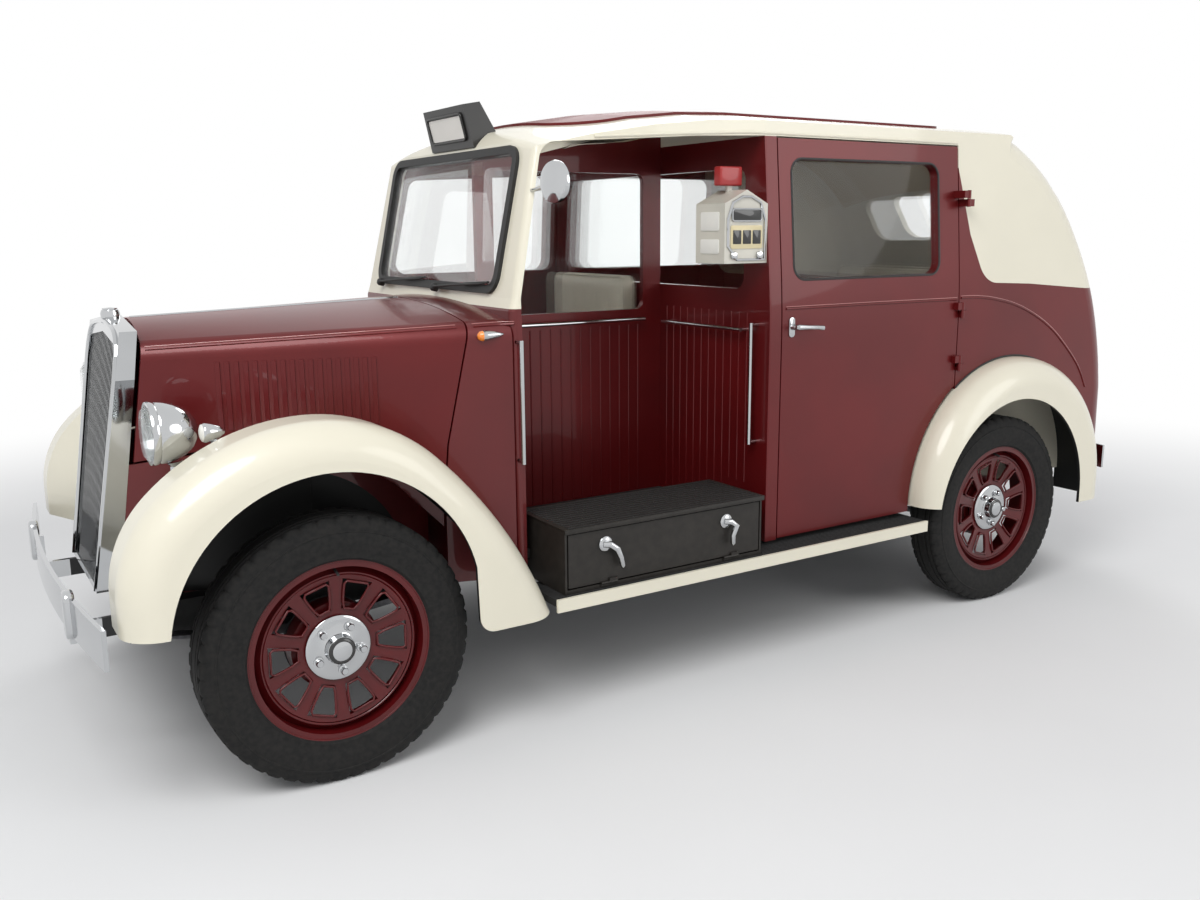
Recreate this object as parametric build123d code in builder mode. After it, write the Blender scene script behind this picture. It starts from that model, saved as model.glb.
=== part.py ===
"""A vintage taxi cab: separate coachwork, chassis and running gear, in millimetres.

X points forward, Y to the cab's left and Z up. The origin is on the ground, in the
middle of the overall length. The left side has an open luggage platform in place of
a front door, and the driver sits on the right.
"""
from build123d import *
import os
from math import hypot

os.makedirs("parts", exist_ok=True)

# Driving sizes of the whole cab
overall_length = 4230
front_overhang = 630
wheelbase = 2700
track = 1420
wing_half_width = 840
body_half_width = 720
scuttle_half_width = 600
roof_height = 1884
roof_panel_rise = 8
tyre_radius = 372
tyre_width = 150
rim_radius = 245
rim_width = 110

# Places that follow from them
front_x = overall_length / 2 - front_overhang
rear_x = front_x - wheelbase
wheel_y = track / 2
bumper_nose_x = overall_length / 2
bumper_tail_x = -overall_length / 2

# Coachwork
wall = 35
skin = 12
panel_gap = 5
fit_gap = 0.3
sill_z = 420
waist_z = 1215
eaves_z = 1822
eaves_lean = 52
eaves_radius = 150
side_crown_radius = 2600
corner_radius = 110
brow_radius = 25
taper_start_x = -50
screen_foot_x = 848
screen_foot_z = 1277
screen_head_x = 748
screen_head_z = 1740
scuttle_x = 860
door_top_z = 1768
cream_z = door_top_z + 4
tail_waist_x = -1954
tail_foot_x = -2075
tail_bow_radius = 2600
reach = 2400
# Sections of the falling front of the roof: place along the cab, drop below the roof's height
roof_stations = ((1000, 157), (560, 60), (350, 26), (150, 6), (taper_start_x, 0))

# Doors and openings
screen_lap = 26
post_front_x = -38
post_rear_x = -93
rear_door_front_x = post_rear_x - panel_gap
rear_door_back_x = -978
front_door_front_x = 822
side_cut_y = 500
door_wing_gap = 14
window_foot_z = 1310
window_head_z = 1700
glass_thickness = 5
glass_inset = 15

# Nose
nose_front_x = 1838
nose_edge_z = 1240
nose_lean = 0.14
nose_tip_x = 1960
nose_front_half = 272
nose_front_moulding_z = 1166
nose_front_crown_z = 1232
nose_rear_moulding_z = 1208
nose_rear_crown_z = 1262
shut_top_x = 966
shut_foot_x = 1048
shut_foot_z = 850
hinge_strip_half = 13.5
louvre_count = 18
louvre_pitch = 24

# Wings
front_wing_nose_x = 2027
front_wing_foot_z = 520
front_arch_x = 1530
front_arch_z = 480
front_arch_radius = 399
wing_heel_x = 1108
wing_foot_z = 362
heel_radius = 48
inner_cut = 60
rear_wing_x = -1300
rear_wing_z = 440
rear_wing_radius = 533
rear_arch_x = rear_x - 20
rear_arch_z = 405
rear_arch_radius = 418
wheelhouse_y = 600

# Division behind the driver and partition beside the luggage
division_light_z = 1475
division_light_width = 1160
division_light_height = 400
partition_y = 95
partition_thickness = 22
partition_front_x = 720
partition_light_x = 345
partition_light_width = 620
partition_light_z = 1430
partition_light_height = 490

# Floor, running boards and locker
floor_top_z = 490
floor_thickness = 25
board_top_z = 398
board_thickness = 22
board_inner_y = 655
board_outer_y = 800
locker_front_x = 795
locker_back_x = 28
locker_inner_y = 500
locker_outer_y = 780
locker_top_z = 600

# Chassis
rail_inner_y = 300
rail_outer_y = 360
rail_foot_z = 360
rail_height = 100
rail_kick = 130
spring_y = 410
spring_width = 50
kingpin_y = 585
kingpin_radius = 16
running_gap = 0.05


def keep(builder, label):
    """Label a finished piece and write its file."""
    builder.part.label = label
    export_step(builder.part, f"parts/{label}.step")


def mirrored(part):
    """The same solid on the other side of the cab."""
    return mirror(part, about=Plane.XZ)


def creases(part, low_x, high_x):
    """Edges between low_x and high_x where two outer faces meet at an angle."""
    found = []
    faces = part.faces()
    for edge in part.edges():
        middle = edge @ 0.5
        if not low_x < middle.X < high_x or edge.bounding_box().size.Z < 1 > abs(middle.Y):
            continue
        near = [face for face in faces if any(edge.is_same(other) for other in face.edges())]
        if len(near) == 2:
            turn = near[0].normal_at(middle).get_angle(near[1].normal_at(middle))
            if turn > 4 and middle.Z > sill_z + 2:
                found.append(edge)
    return found


def body_section(half, inset, foot_z, drop):
    """Cross-section of the cabin: upright sides, a slight lean in, a crowned roof."""
    side = half - inset
    eaves = (side - eaves_lean, eaves_z - inset - drop)
    with BuildSketch() as sketch:
        with BuildLine():
            Polyline((-side, foot_z), (side, foot_z), (side, waist_z), eaves)
            ThreePointArc(eaves, (0, roof_height - inset - drop), (-eaves[0], eaves[1]))
            Polyline((-eaves[0], eaves[1]), (-side, waist_z), (-side, foot_z))
        make_face()
        corners = sketch.vertices()
        fillet([v for v in corners if abs(v.Y - waist_z) < 1], side_crown_radius)
        fillet([v for v in corners if abs(v.Y - eaves[1]) < 1], eaves_radius - inset)
    return sketch.sketch


def coach_form(inset):
    """The cabin as one closed form, drawn in on every side by inset."""
    foot_z = sill_z - 5 if inset <= 0 else sill_z - 120
    narrowing = (body_half_width - scuttle_half_width) / (scuttle_x - taper_start_x)
    top_z = roof_height + 4 - inset
    with BuildPart() as form:
        for x, drop in roof_stations:
            with BuildSketch(Plane.YZ.offset(x)):
                add(body_section(body_half_width - narrowing * (x - taper_start_x), inset, foot_z, drop))
        loft(ruled=True)
        with BuildSketch(Plane.YZ.offset(taper_start_x)):
            add(body_section(body_half_width, inset, foot_z, 0))
        extrude(amount=-reach - taper_start_x)
        with BuildSketch(Plane.XZ):
            with BuildLine():
                front = Polyline(
                    (scuttle_x - inset, 200),
                    (scuttle_x - inset, 1240),
                    (screen_foot_x - inset, screen_foot_z),
                    (screen_head_x - inset, screen_head_z),
                )
                brow = ThreePointArc(front @ 1, (720 - inset, 1772 - inset), (650 - inset, 1811 - inset))
                Polyline(brow @ 1, (500, top_z), (-reach, top_z), (-reach, 200), front @ 0)
            make_face()
        extrude(amount=body_half_width + 100, both=True, mode=Mode.INTERSECT)
    bow_x = tail_waist_x + tail_bow_radius
    with BuildPart() as tail:
        with BuildSketch(Plane.XZ):
            with BuildLine():
                back = Polyline((bow_x, 200), (tail_foot_x + inset, 200), (tail_foot_x + 14 + inset, 800))
                curve = ThreePointArc(back @ 1, (tail_waist_x + inset, 1217), (-1790 + inset, 1520))
                crown = TangentArc(curve @ 1, (-1150, top_z + 2), tangent=curve % 1)
                Polyline(crown @ 1, (bow_x, top_z + 2), back @ 0)
            make_face()
        revolve(axis=Axis((bow_x, 0, 0), (0, 0, 1)))
    with BuildPart() as whole:
        add(form.part)
        add(tail.part, mode=Mode.INTERSECT)
        fillet(creases(whole.part, -reach, -1200), corner_radius - max(inset, 0))
        if inset == 0:
            front_edges = creases(whole.part, 560, 900)
            fillet([edge for edge in front_edges if edge.bounding_box().size.X < 150], brow_radius)
    return whole.part


def side_prism(outline_face, low_y, high_y):
    """A side-view face pushed across the cab between two widths."""
    with BuildPart() as prism:
        with BuildSketch(Plane.XZ.offset(-high_y)):
            add(outline_face)
        extrude(amount=high_y - low_y)
    return prism.part


def front_opening(grow):
    """Side outline of the front door, or of the open luggage side, grown by grow."""
    with BuildSketch() as outline:
        with BuildLine():
            Polyline(
                (post_front_x - grow, sill_z - 2 * grow),
                (front_door_front_x + grow, sill_z - 2 * grow),
                (front_door_front_x + grow, screen_foot_z),
                (screen_head_x - screen_lap + 3 + grow, door_top_z - 40 + grow),
                (210, door_top_z - 8 + grow),
                (post_front_x - grow, door_top_z + grow),
                close=True,
            )
        make_face()
        fillet(outline.vertices().filter_by(lambda v: 700 < v.X < 760), 60)
    return outline.sketch


def rear_door_outline(grow):
    """Side outline of the rear door: its lower back edge follows the wing."""
    arch = rear_wing_radius + door_wing_gap - 2 * grow
    with BuildSketch() as outline:
        with BuildLine():
            Polyline(
                (rear_door_back_x - grow, sill_z - grow),
                (rear_door_front_x + grow, sill_z - grow),
                (rear_door_front_x + grow, door_top_z + grow),
                (rear_door_back_x - grow, door_top_z + grow),
                close=True,
            )
        make_face()
        with Locations((rear_wing_x, rear_wing_z)):
            Circle(arch, mode=Mode.SUBTRACT)
    return outline.sketch


def rear_window_outline(grow):
    """The window in a rear door."""
    with BuildSketch() as outline:
        with Locations((-512, (window_foot_z + window_head_z) / 2)):
            RectangleRounded(712 + 2 * grow, window_head_z - window_foot_z + 2 * grow, 45 + grow)
    return outline.sketch


def front_window_outline(grow):
    """The window in the driver's door, raked along its front edge."""
    with BuildSketch() as outline:
        with BuildLine():
            Polyline(
                (22 - grow, window_foot_z - grow),
                (754 + grow, window_foot_z - grow),
                (684 + grow, window_head_z - 35 + grow),
                (22 - grow, window_head_z + grow),
                close=True,
            )
        make_face()
        fillet(outline.vertices(), 45 + grow)
    return outline.sketch


def along_nose(x, front_value, rear_value):
    """A size of the nose at a place along it, between its values at front and rear."""
    share = (x - scuttle_x) / (nose_front_x - scuttle_x)
    return rear_value + share * (front_value - rear_value)


def nose_side_y(x):
    """Half width of the nose at a place along it."""
    return along_nose(x, nose_front_half, scuttle_half_width)


def nose_edge_x(z):
    """The nose's front edge at a height: it leans back towards the top."""
    return nose_front_x + nose_lean * (nose_edge_z - z)


def nose_form(inset, foot_z):
    """The bonnet and scuttle as one tapering closed form, drawn in by inset."""
    with BuildPart() as form:
        for x in (nose_tip_x, scuttle_x):
            side = nose_side_y(x) - inset
            moulding_z = along_nose(x, nose_front_moulding_z, nose_rear_moulding_z)
            crown_z = along_nose(x, nose_front_crown_z, nose_rear_crown_z)
            with BuildSketch(Plane.YZ.offset(x)) as section:
                with BuildLine():
                    Polyline((-side, moulding_z), (-side, foot_z), (side, foot_z), (side, moulding_z))
                    ThreePointArc((side, moulding_z), (0, crown_z - inset), (-side, moulding_z))
                make_face()
                shoulders = [v for v in section.vertices() if abs(v.Y - moulding_z) < 1]
                fillet(shoulders, 60 - inset)
        loft(ruled=True)
    return form.part


def wing_path():
    """Side view of the front wing's crown: arcs that follow on from each other."""
    turns = ((330, 45.7), (584, 44.3), (480, 42.5), (1362, 27))
    with BuildLine(Plane.XZ) as path:
        line = Line((front_wing_nose_x, front_wing_foot_z), (front_wing_nose_x, 600))
        for radius, angle in turns:
            line = JernArc(line @ 1, line % 1, radius, angle)
    return path.line


def front_wing():
    """Right front wing: a pressed section swept along the crown, with its arch cut."""
    outer, crest, inner = wing_half_width, 650, 300
    drop, skirt = 150, 262
    low_z = 200
    heel_x = wing_heel_x - heel_radius
    mouth = Plane((front_wing_nose_x, 0, front_wing_foot_z), x_dir=(0, -1, 0), z_dir=(0, 0, 1))
    with BuildPart() as wing:
        with BuildSketch(mouth) as section:
            with BuildLine():
                Polyline(
                    (outer, -skirt),
                    (outer, 0),
                    (crest, 0),
                    (inner, -drop),
                    (inner, -drop - skin),
                    (crest, -skin),
                    (outer - skin, -skin),
                    (outer - skin, -skirt),
                    close=True,
                )
            make_face()
            corners = section.vertices()
            fillet(corners.filter_by(lambda v: v.X == outer and v.Y == 0), 95)
            chamfer(section.vertices().filter_by(lambda v: v.X == outer - skin and v.Y == -skin), inner_cut)
        sweep(path=wing_path())
        with BuildSketch(Plane.XZ.offset(outer - skin - 40)):
            with BuildLine():
                foot_x = front_arch_x + front_arch_radius
                mouth_line = Polyline((heel_x, low_z), (foot_x + 40, low_z), (foot_x, front_arch_z))
                arch = ThreePointArc(
                    mouth_line @ 1,
                    (front_arch_x, front_arch_z + front_arch_radius),
                    (wing_heel_x + 5, front_arch_z + 80),
                )
                heel = Line(arch @ 1, (wing_heel_x, wing_foot_z + heel_radius))
                turn = RadiusArc(heel @ 1, (wing_heel_x - heel_radius, wing_foot_z), heel_radius)
                Line(turn @ 1, mouth_line @ 0)
            make_face()
        extrude(amount=100, mode=Mode.SUBTRACT)
        with BuildSketch(Plane.XZ):
            Polygon((700, low_z), (front_arch_x, low_z), (front_arch_x, wing_foot_z), (700, wing_foot_z), align=None)
        extrude(amount=outer + 10, mode=Mode.SUBTRACT)
        add(nose_form(-fit_gap, 200), mode=Mode.SUBTRACT)
        with Locations((scuttle_x - 500, 0, 600)):
            Box(1000 + 2, 2 * scuttle_half_width + 14, 1200, mode=Mode.SUBTRACT)
    return wing.part


def rear_wing():
    """Right rear wing with the wheelhouse behind it, closed on the cabin side."""
    outer, skirt = wing_half_width, 190
    mouth = Plane((rear_wing_x + rear_wing_radius, 0, rear_wing_z), x_dir=(0, -1, 0), z_dir=(0, 0, 1))
    with BuildLine(Plane.XZ) as path:
        rise = JernArc((rear_wing_x + rear_wing_radius, rear_wing_z), (0, 1), rear_wing_radius, 180)
        Line(rise @ 1, (rear_wing_x - rear_wing_radius, rear_wing_z - 88))
    with BuildPart() as wing:
        with BuildSketch(mouth) as section:
            with BuildLine():
                Polyline(
                    (outer, -skirt),
                    (outer, 0),
                    (wheelhouse_y, 0),
                    (wheelhouse_y, -skin),
                    (outer - skin, -skin),
                    (outer - skin, -skirt),
                    close=True,
                )
            make_face()
            fillet(section.vertices().filter_by(lambda v: v.X == outer and v.Y == 0), 100)
            chamfer(section.vertices().filter_by(lambda v: v.X == outer - skin and v.Y == -skin), inner_cut)
        sweep(path=path.line)
        with BuildSketch(Plane.XZ.offset(outer - skin - 40)):
            with Locations((rear_arch_x, rear_arch_z)):
                Circle(rear_arch_radius)
            with Locations((rear_arch_x, rear_arch_z - 200)):
                Rectangle(2 * rear_arch_radius, 400)
        extrude(amount=100, mode=Mode.SUBTRACT)
        with BuildSketch(Plane.XZ.offset(wheelhouse_y)):
            with Locations((rear_wing_x, rear_wing_z)):
                Circle(rear_wing_radius)
            with Locations((rear_wing_x, rear_wing_z - 500)):
                Rectangle(2 * rear_wing_radius + 50, 1000, mode=Mode.SUBTRACT)
        extrude(amount=skin)
    return wing.part


# Coachwork shell and its panels
coach_outer = coach_form(0)
coach_inner = coach_form(wall)
glass_outer = coach_form(glass_inset)
glass_inner = coach_form(glass_inset + glass_thickness)

screen_run = hypot(screen_foot_x - screen_head_x, screen_head_z - screen_foot_z)
screen_plane = Plane(
    origin=(screen_foot_x, 0, screen_foot_z),
    x_dir=(0, 1, 0),
    z_dir=(screen_head_z - screen_foot_z, 0, screen_foot_x - screen_head_x),
)
screen_half = 485
screen_low = 8
screen_high = screen_run - 12
screen_rim = 26


def screen_outline(grow):
    """The windscreen aperture on its raked plane."""
    height = screen_high - screen_low
    with BuildSketch(screen_plane) as outline:
        with Locations((0, screen_low + height / 2)):
            RectangleRounded(2 * (screen_half + grow), height + 2 * grow, 60 + grow)
    return outline.sketch


def rear_light_outline(grow):
    """The small window in the cabin's back."""
    with BuildSketch(Plane.YZ.offset(-reach)) as outline:
        with Locations((0, 1525)):
            RectangleRounded(560 + 2 * grow, 190 + 2 * grow, 60 + grow)
    return outline.sketch


hinge_radius = 7
hinge_length = 30
rear_hinge_x, rear_hinge_y = rear_door_back_x - panel_gap, 735
front_hinge_x, front_hinge_y = front_door_front_x + panel_gap, 615
rear_hinge_heights = (970, 1170, 1580)
front_hinge_heights = (600, 900, 1150)


def hinge_halves(x, y, heights, reach_x, inner_y):
    """Barrels with lugs for one door's hinges: a negative reach_x is on its other side."""
    low_z = -hinge_length if reach_x * x > 0 else fit_gap
    with BuildPart() as halves:
        for z in heights:
            with Locations((x, y, z + low_z)):
                Cylinder(hinge_radius, hinge_length - fit_gap, align=(Align.CENTER, Align.CENTER, Align.MIN))
            lug = sorted((x, x + reach_x))
            span = sorted((inner_y, y + (3 if y > 0 else -3)))
            with Locations(((lug[0] + lug[1]) / 2, (span[0] + span[1]) / 2, z + low_z + 2)):
                Box(
                    lug[1] - lug[0],
                    span[1] - span[0],
                    hinge_length - 4,
                    align=(Align.CENTER, Align.CENTER, Align.MIN),
                )
    return halves.part


with BuildPart() as shell:
    add(coach_outer)
    add(coach_inner, mode=Mode.SUBTRACT)
    for near, far in ((side_cut_y, 900), (-900, -side_cut_y)):
        add(side_prism(front_opening(panel_gap), near, far), mode=Mode.SUBTRACT)
        add(side_prism(rear_door_outline(panel_gap), near, far), mode=Mode.SUBTRACT)
    extrude(to_extrude=screen_outline(fit_gap), amount=200, both=True, mode=Mode.SUBTRACT)
    extrude(to_extrude=rear_light_outline(0), amount=reach - 1500, mode=Mode.SUBTRACT)

with BuildSketch() as cream_outline:
    with BuildLine():
        Polyline(
            (1100, 1247),
            (post_front_x - 2, 1247),
            (post_front_x - 2, cream_z),
            (-962, cream_z),
            (-1047, 1447),
            (-1130, 1268),
            (-1394, 1256),
            (-1760, 1226),
            (-reach, 1210),
            (-reach, 2100),
            (1100, 2100),
            close=True,
        )
    make_face()
    fillet(cream_outline.vertices().filter_by(lambda v: v.Y == 1268), 110)

cream_prism = side_prism(cream_outline.sketch, -900, 900)

with BuildPart() as roof_shell:
    add(shell.part)
    add(cream_prism, mode=Mode.INTERSECT)
keep(roof_shell, "roof_shell")

with BuildPart() as rear_body:
    add(shell.part)
    add(cream_prism, mode=Mode.SUBTRACT)
    with Locations((rear_door_back_x - panel_gap - 1000, 0, 1000)):
        Box(2000, 1600, 1700, mode=Mode.INTERSECT)
    with BuildSketch(Plane.XZ):
        with Locations((rear_wing_x, rear_wing_z)):
            Circle(rear_wing_radius + fit_gap)
        with Locations((rear_wing_x, rear_wing_z - 300)):
            Rectangle(2 * (rear_wing_radius + fit_gap), 600)
    extrude(amount=900, both=True, mode=Mode.SUBTRACT)
    for side in (1, -1):
        add(hinge_halves(rear_hinge_x, side * rear_hinge_y, rear_hinge_heights[:2], -28, side * 712))
        add(hinge_halves(rear_hinge_x, side * rear_hinge_y, rear_hinge_heights[2:], -28, side * 682))
keep(rear_body, "rear_body")

with BuildPart() as roof_panel:
    with BuildSketch(Plane.XY.offset(1800)):
        with Locations((-330, 0)):
            RectangleRounded(1800, 900, 180)
    extrude(amount=200)
    add(coach_form(-roof_panel_rise), mode=Mode.INTERSECT)
    add(coach_outer, mode=Mode.SUBTRACT)
keep(roof_panel, "roof_panel")

with BuildPart() as bulkhead:
    add(coach_inner)
    with Locations((post_front_x - panel_gap - 16, 0, (floor_top_z + cream_z) / 2)):
        Box(32, 1600, cream_z - floor_top_z - 2 * fit_gap, mode=Mode.INTERSECT)
    with BuildSketch(Plane.YZ.offset(-200)):
        with Locations((0, division_light_z)):
            RectangleRounded(division_light_width, division_light_height, 40)
    extrude(amount=400, mode=Mode.SUBTRACT)

with BuildPart() as division:
    add(shell.part)
    add(cream_prism, mode=Mode.SUBTRACT)
    with Locations(((post_front_x + post_rear_x) / 2, 0, 1000)):
        Box(post_front_x - post_rear_x, 1600, 1600, mode=Mode.INTERSECT)
    add(bulkhead.part)
keep(division, "division")

# The luggage side is shut off from the driver by a panel with a light above it
with BuildPart() as side_partition:
    with BuildSketch(Plane.XZ.offset(-partition_y)):
        with BuildLine():
            Polyline(
                (post_front_x - panel_gap + fit_gap, floor_top_z + fit_gap),
                (scuttle_x - wall - fit_gap, floor_top_z + fit_gap),
                (scuttle_x - wall - fit_gap, 1150),
                (partition_front_x, 1240),
                (partition_front_x, 1700),
                (partition_front_x - 40, 1900),
                (post_front_x - panel_gap + fit_gap, 1900),
                close=True,
            )
        make_face()
        with Locations((partition_light_x, partition_light_z)):
            RectangleRounded(partition_light_width, partition_light_height, 30, mode=Mode.SUBTRACT)
    extrude(amount=partition_thickness)
    add(coach_inner, mode=Mode.INTERSECT)
keep(side_partition, "side_partition")

# Glass that stays put: screen, rear light, division, partition and lamp lenses
lamp_x, lamp_y, lamp_z = 1883, 530, 971
lamp_radius = 82
lamp_length = 124
lens_radius = lamp_radius - 8
lens_rise = 11


def pane_from(outline_face, direction_amount):
    """A curved pane: the slice of the glass shell that an outline reaches."""
    with BuildPart() as pane:
        add(glass_outer)
        add(glass_inner, mode=Mode.SUBTRACT)
        extrude(to_extrude=outline_face, amount=direction_amount, mode=Mode.INTERSECT)
    return pane.part


with BuildPart() as fixed_glass:
    extrude(to_extrude=screen_outline(-screen_rim - fit_gap), amount=glass_thickness)
    add(pane_from(rear_light_outline(-fit_gap), reach - 1500))
    with BuildSketch(Plane.YZ.offset(post_front_x - panel_gap - 19)):
        with Locations((0, division_light_z)):
            RectangleRounded(division_light_width - 2 * fit_gap, division_light_height - 2 * fit_gap, 40)
    extrude(amount=glass_thickness)
    with BuildSketch(Plane.XZ.offset(-partition_y + 8)):
        with Locations((partition_light_x, partition_light_z)):
            RectangleRounded(partition_light_width - 2 * fit_gap, partition_light_height - 2 * fit_gap, 30)
    extrude(amount=glass_thickness)
    for side in (-1, 1):
        with BuildSketch(Plane.YZ.offset(lamp_x + fit_gap)):
            with Locations((side * lamp_y, lamp_z)):
                Circle(lens_radius)
        extrude(amount=lens_rise, taper=45)
keep(fixed_glass, "fixed_glass")

with BuildPart() as windscreen_frame:
    extrude(to_extrude=screen_outline(0), amount=12)
    extrude(to_extrude=screen_outline(0), amount=-16)
    extrude(to_extrude=screen_outline(-screen_rim), amount=40, both=True, mode=Mode.SUBTRACT)
keep(windscreen_frame, "windscreen_frame")


def door_leaf(outline_face, window_face, side):
    """A door cut from the coach wall, with its window, on one side of the cab."""
    with BuildPart() as leaf:
        add(coach_outer)
        add(coach_inner, mode=Mode.SUBTRACT)
        near, far = (side_cut_y, 900) if side > 0 else (-900, -side_cut_y)
        add(side_prism(outline_face, near, far), mode=Mode.INTERSECT)
        add(side_prism(window_face, near, far), mode=Mode.SUBTRACT)
    return leaf.part


def door_pane(window_face, side):
    """The pane that fills a door's window."""
    near, far = (side_cut_y, 900) if side > 0 else (-900, -side_cut_y)
    with BuildPart() as pane:
        add(side_prism(window_face, near, far))
        add(glass_outer, mode=Mode.INTERSECT)
        add(glass_inner, mode=Mode.SUBTRACT)
    return pane.part


doors = (
    ("rear_left_door", rear_door_outline(0), rear_window_outline(0), rear_window_outline(-fit_gap), 1),
    ("rear_right_door", rear_door_outline(0), rear_window_outline(0), rear_window_outline(-fit_gap), -1),
    ("driver_door", front_opening(0), front_window_outline(0), front_window_outline(-fit_gap), -1),
)
for door_name, door_face, hole_face, pane_face, door_side in doors:
    with BuildPart() as door:
        add(door_leaf(door_face, hole_face, door_side))
        if door_name == "driver_door":
            add(hinge_halves(front_hinge_x, -front_hinge_y, front_hinge_heights, -24, -590))
        else:
            add(hinge_halves(rear_hinge_x, door_side * rear_hinge_y, rear_hinge_heights[:2], 28, door_side * 712))
            add(hinge_halves(rear_hinge_x, door_side * rear_hinge_y, rear_hinge_heights[2:], 28, door_side * 682))
    keep(door, door_name)
    with BuildPart() as pane:
        add(door_pane(pane_face, door_side))
    keep(pane, door_name + "_glass")


# Small helpers for the panels and the running gear
def block(low, high, mode=Mode.ADD):
    """A block between two corners, in the solid being built."""
    with Locations(tuple((a + b) / 2 for a, b in zip(low, high))):
        Box(*[b - a for a, b in zip(low, high)], mode=mode)


def side_blocks(table, mode=Mode.ADD):
    """Blocks from a table of x, y and z limits, each repeated on the other side."""
    for low_x, high_x, low_y, high_y, low_z, high_z in table:
        for side in (1, -1):
            ends = sorted((side * low_y, side * high_y))
            block((low_x, ends[0], low_z), (high_x, ends[1], high_z), mode=mode)


def bar(start, end, radius, mode=Mode.ADD):
    """A round bar between two points, in the solid being built."""
    run = Vector(*end) - Vector(*start)
    base = (Align.CENTER, Align.CENTER, Align.MIN)
    with Locations(Plane(origin=start, z_dir=run).location):
        Cylinder(radius, run.length, align=base, mode=mode)


# Scuttle: the cabin's front wall, the nose back to the shut line and the firewall
firewall_x = 1030
firewall_thickness = 12
nose_foot_z = 461
high_z = 1400
clear_y = 900
with BuildPart() as nose_skin:
    add(nose_form(0, sill_z))
    add(nose_form(skin, sill_z - 20), mode=Mode.SUBTRACT)

with BuildPart() as cowl:
    add(nose_skin.part)
    with BuildSketch(Plane.XZ):
        with BuildLine():
            Polyline(
                (scuttle_x - 1, high_z),
                (shut_top_x - 28, high_z),
                (shut_top_x, nose_rear_crown_z),
                (shut_foot_x, shut_foot_z),
                (shut_foot_x + 14, 672),
                (shut_foot_x + 14, sill_z - 10),
                (scuttle_x - 1, sill_z - 10),
                close=True,
            )
        make_face()
    extrude(amount=clear_y, both=True, mode=Mode.INTERSECT)

firewall_back_x = firewall_x + firewall_thickness
with BuildPart() as firewall:
    add(nose_form(skin + 6, nose_foot_z))
    block((firewall_x, -clear_y, sill_z - 20), (firewall_back_x, clear_y, high_z), mode=Mode.INTERSECT)

with BuildPart() as firewall_foot:
    add(nose_form(skin - 1, nose_foot_z))
    block((firewall_x, -clear_y, sill_z - 20), (firewall_back_x, clear_y, 780), mode=Mode.INTERSECT)

with BuildPart() as hinge_strip:
    add(nose_form(0, sill_z))
    add(nose_form(4, sill_z - 20), mode=Mode.SUBTRACT)
    block(
        (shut_top_x - 20, -hinge_strip_half, 1100),
        (nose_front_x - fit_gap, hinge_strip_half, high_z),
        mode=Mode.INTERSECT,
    )

front_wall_half = scuttle_half_width - wall
with BuildPart() as scuttle:
    add(shell.part)
    add(cream_prism, mode=Mode.SUBTRACT)
    block((700, -clear_y, 300), (1000, clear_y, 1247), mode=Mode.INTERSECT)
    block((800, -480, 400), (900, 70, 1120), mode=Mode.SUBTRACT)
    block((800, -front_wall_half, 400), (scuttle_x + 1, front_wall_half, floor_top_z), mode=Mode.SUBTRACT)
    block((785, -535, 1010), (scuttle_x - wall + 5, 66, 1150))
    for piece in (cowl, firewall, firewall_foot, hinge_strip):
        add(piece.part)
    add(hinge_halves(front_hinge_x, -front_hinge_y, front_hinge_heights, 24, -590))
keep(scuttle, "scuttle")

# Bonnet halves, hinged along the middle, with a row of louvres in each side
bonnet_gap = 12
bonnet_foot_z = 848
bonnet_foot_x = nose_edge_x(bonnet_foot_z) - bonnet_gap
bonnet_inner_y = 14
louvre_front_x = 1660
louvre_low_z = 927
louvre_high_z = 1120
louvre_width = 15
louvre_rise = 6


def below_bonnet(drop):
    """Lower edge of the bonnet side from front to back, moved down by drop."""
    with BuildLine() as edge:
        front = ThreePointArc(
            (bonnet_foot_x, bonnet_foot_z - drop),
            (1640, 880 - drop),
            (1475, 904 - drop),
        )
        rise = Line(front @ 1, (1330, 886 - drop))
        bend = Line(rise @ 1, (1200, 806 - drop))
        Line(bend @ 1, (shut_foot_x + 20, 676 - drop))
    return edge.line


with BuildPart() as left_bonnet:
    add(nose_skin.part)
    with BuildSketch(Plane.XZ.offset(-bonnet_inner_y)):
        with BuildLine():
            add(below_bonnet(0))
            Polyline(
                (shut_foot_x + 20, 676),
                (shut_foot_x + panel_gap, shut_foot_z),
                (shut_top_x + panel_gap, nose_rear_crown_z),
                (shut_top_x - 20, high_z),
                (nose_edge_x(high_z) - bonnet_gap, high_z),
                (bonnet_foot_x, bonnet_foot_z),
            )
        make_face()
    extrude(amount=-700, mode=Mode.INTERSECT)
    with BuildSketch(Plane.XY.offset(louvre_low_z)):
        for number in range(louvre_count):
            x = louvre_front_x - number * louvre_pitch
            with BuildLine():
                Polyline(
                    (x, nose_side_y(x) - 3),
                    (x, nose_side_y(x) + 1),
                    (x - louvre_width + 4, nose_side_y(x - louvre_width + 4) + louvre_rise),
                    (x - louvre_width, nose_side_y(x - louvre_width) - 3),
                    close=True,
                )
            make_face()
    extrude(amount=louvre_high_z - louvre_low_z)
keep(left_bonnet, "left_bonnet")

with BuildPart() as right_bonnet:
    add(mirrored(left_bonnet.part))
keep(right_bonnet, "right_bonnet")

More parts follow.
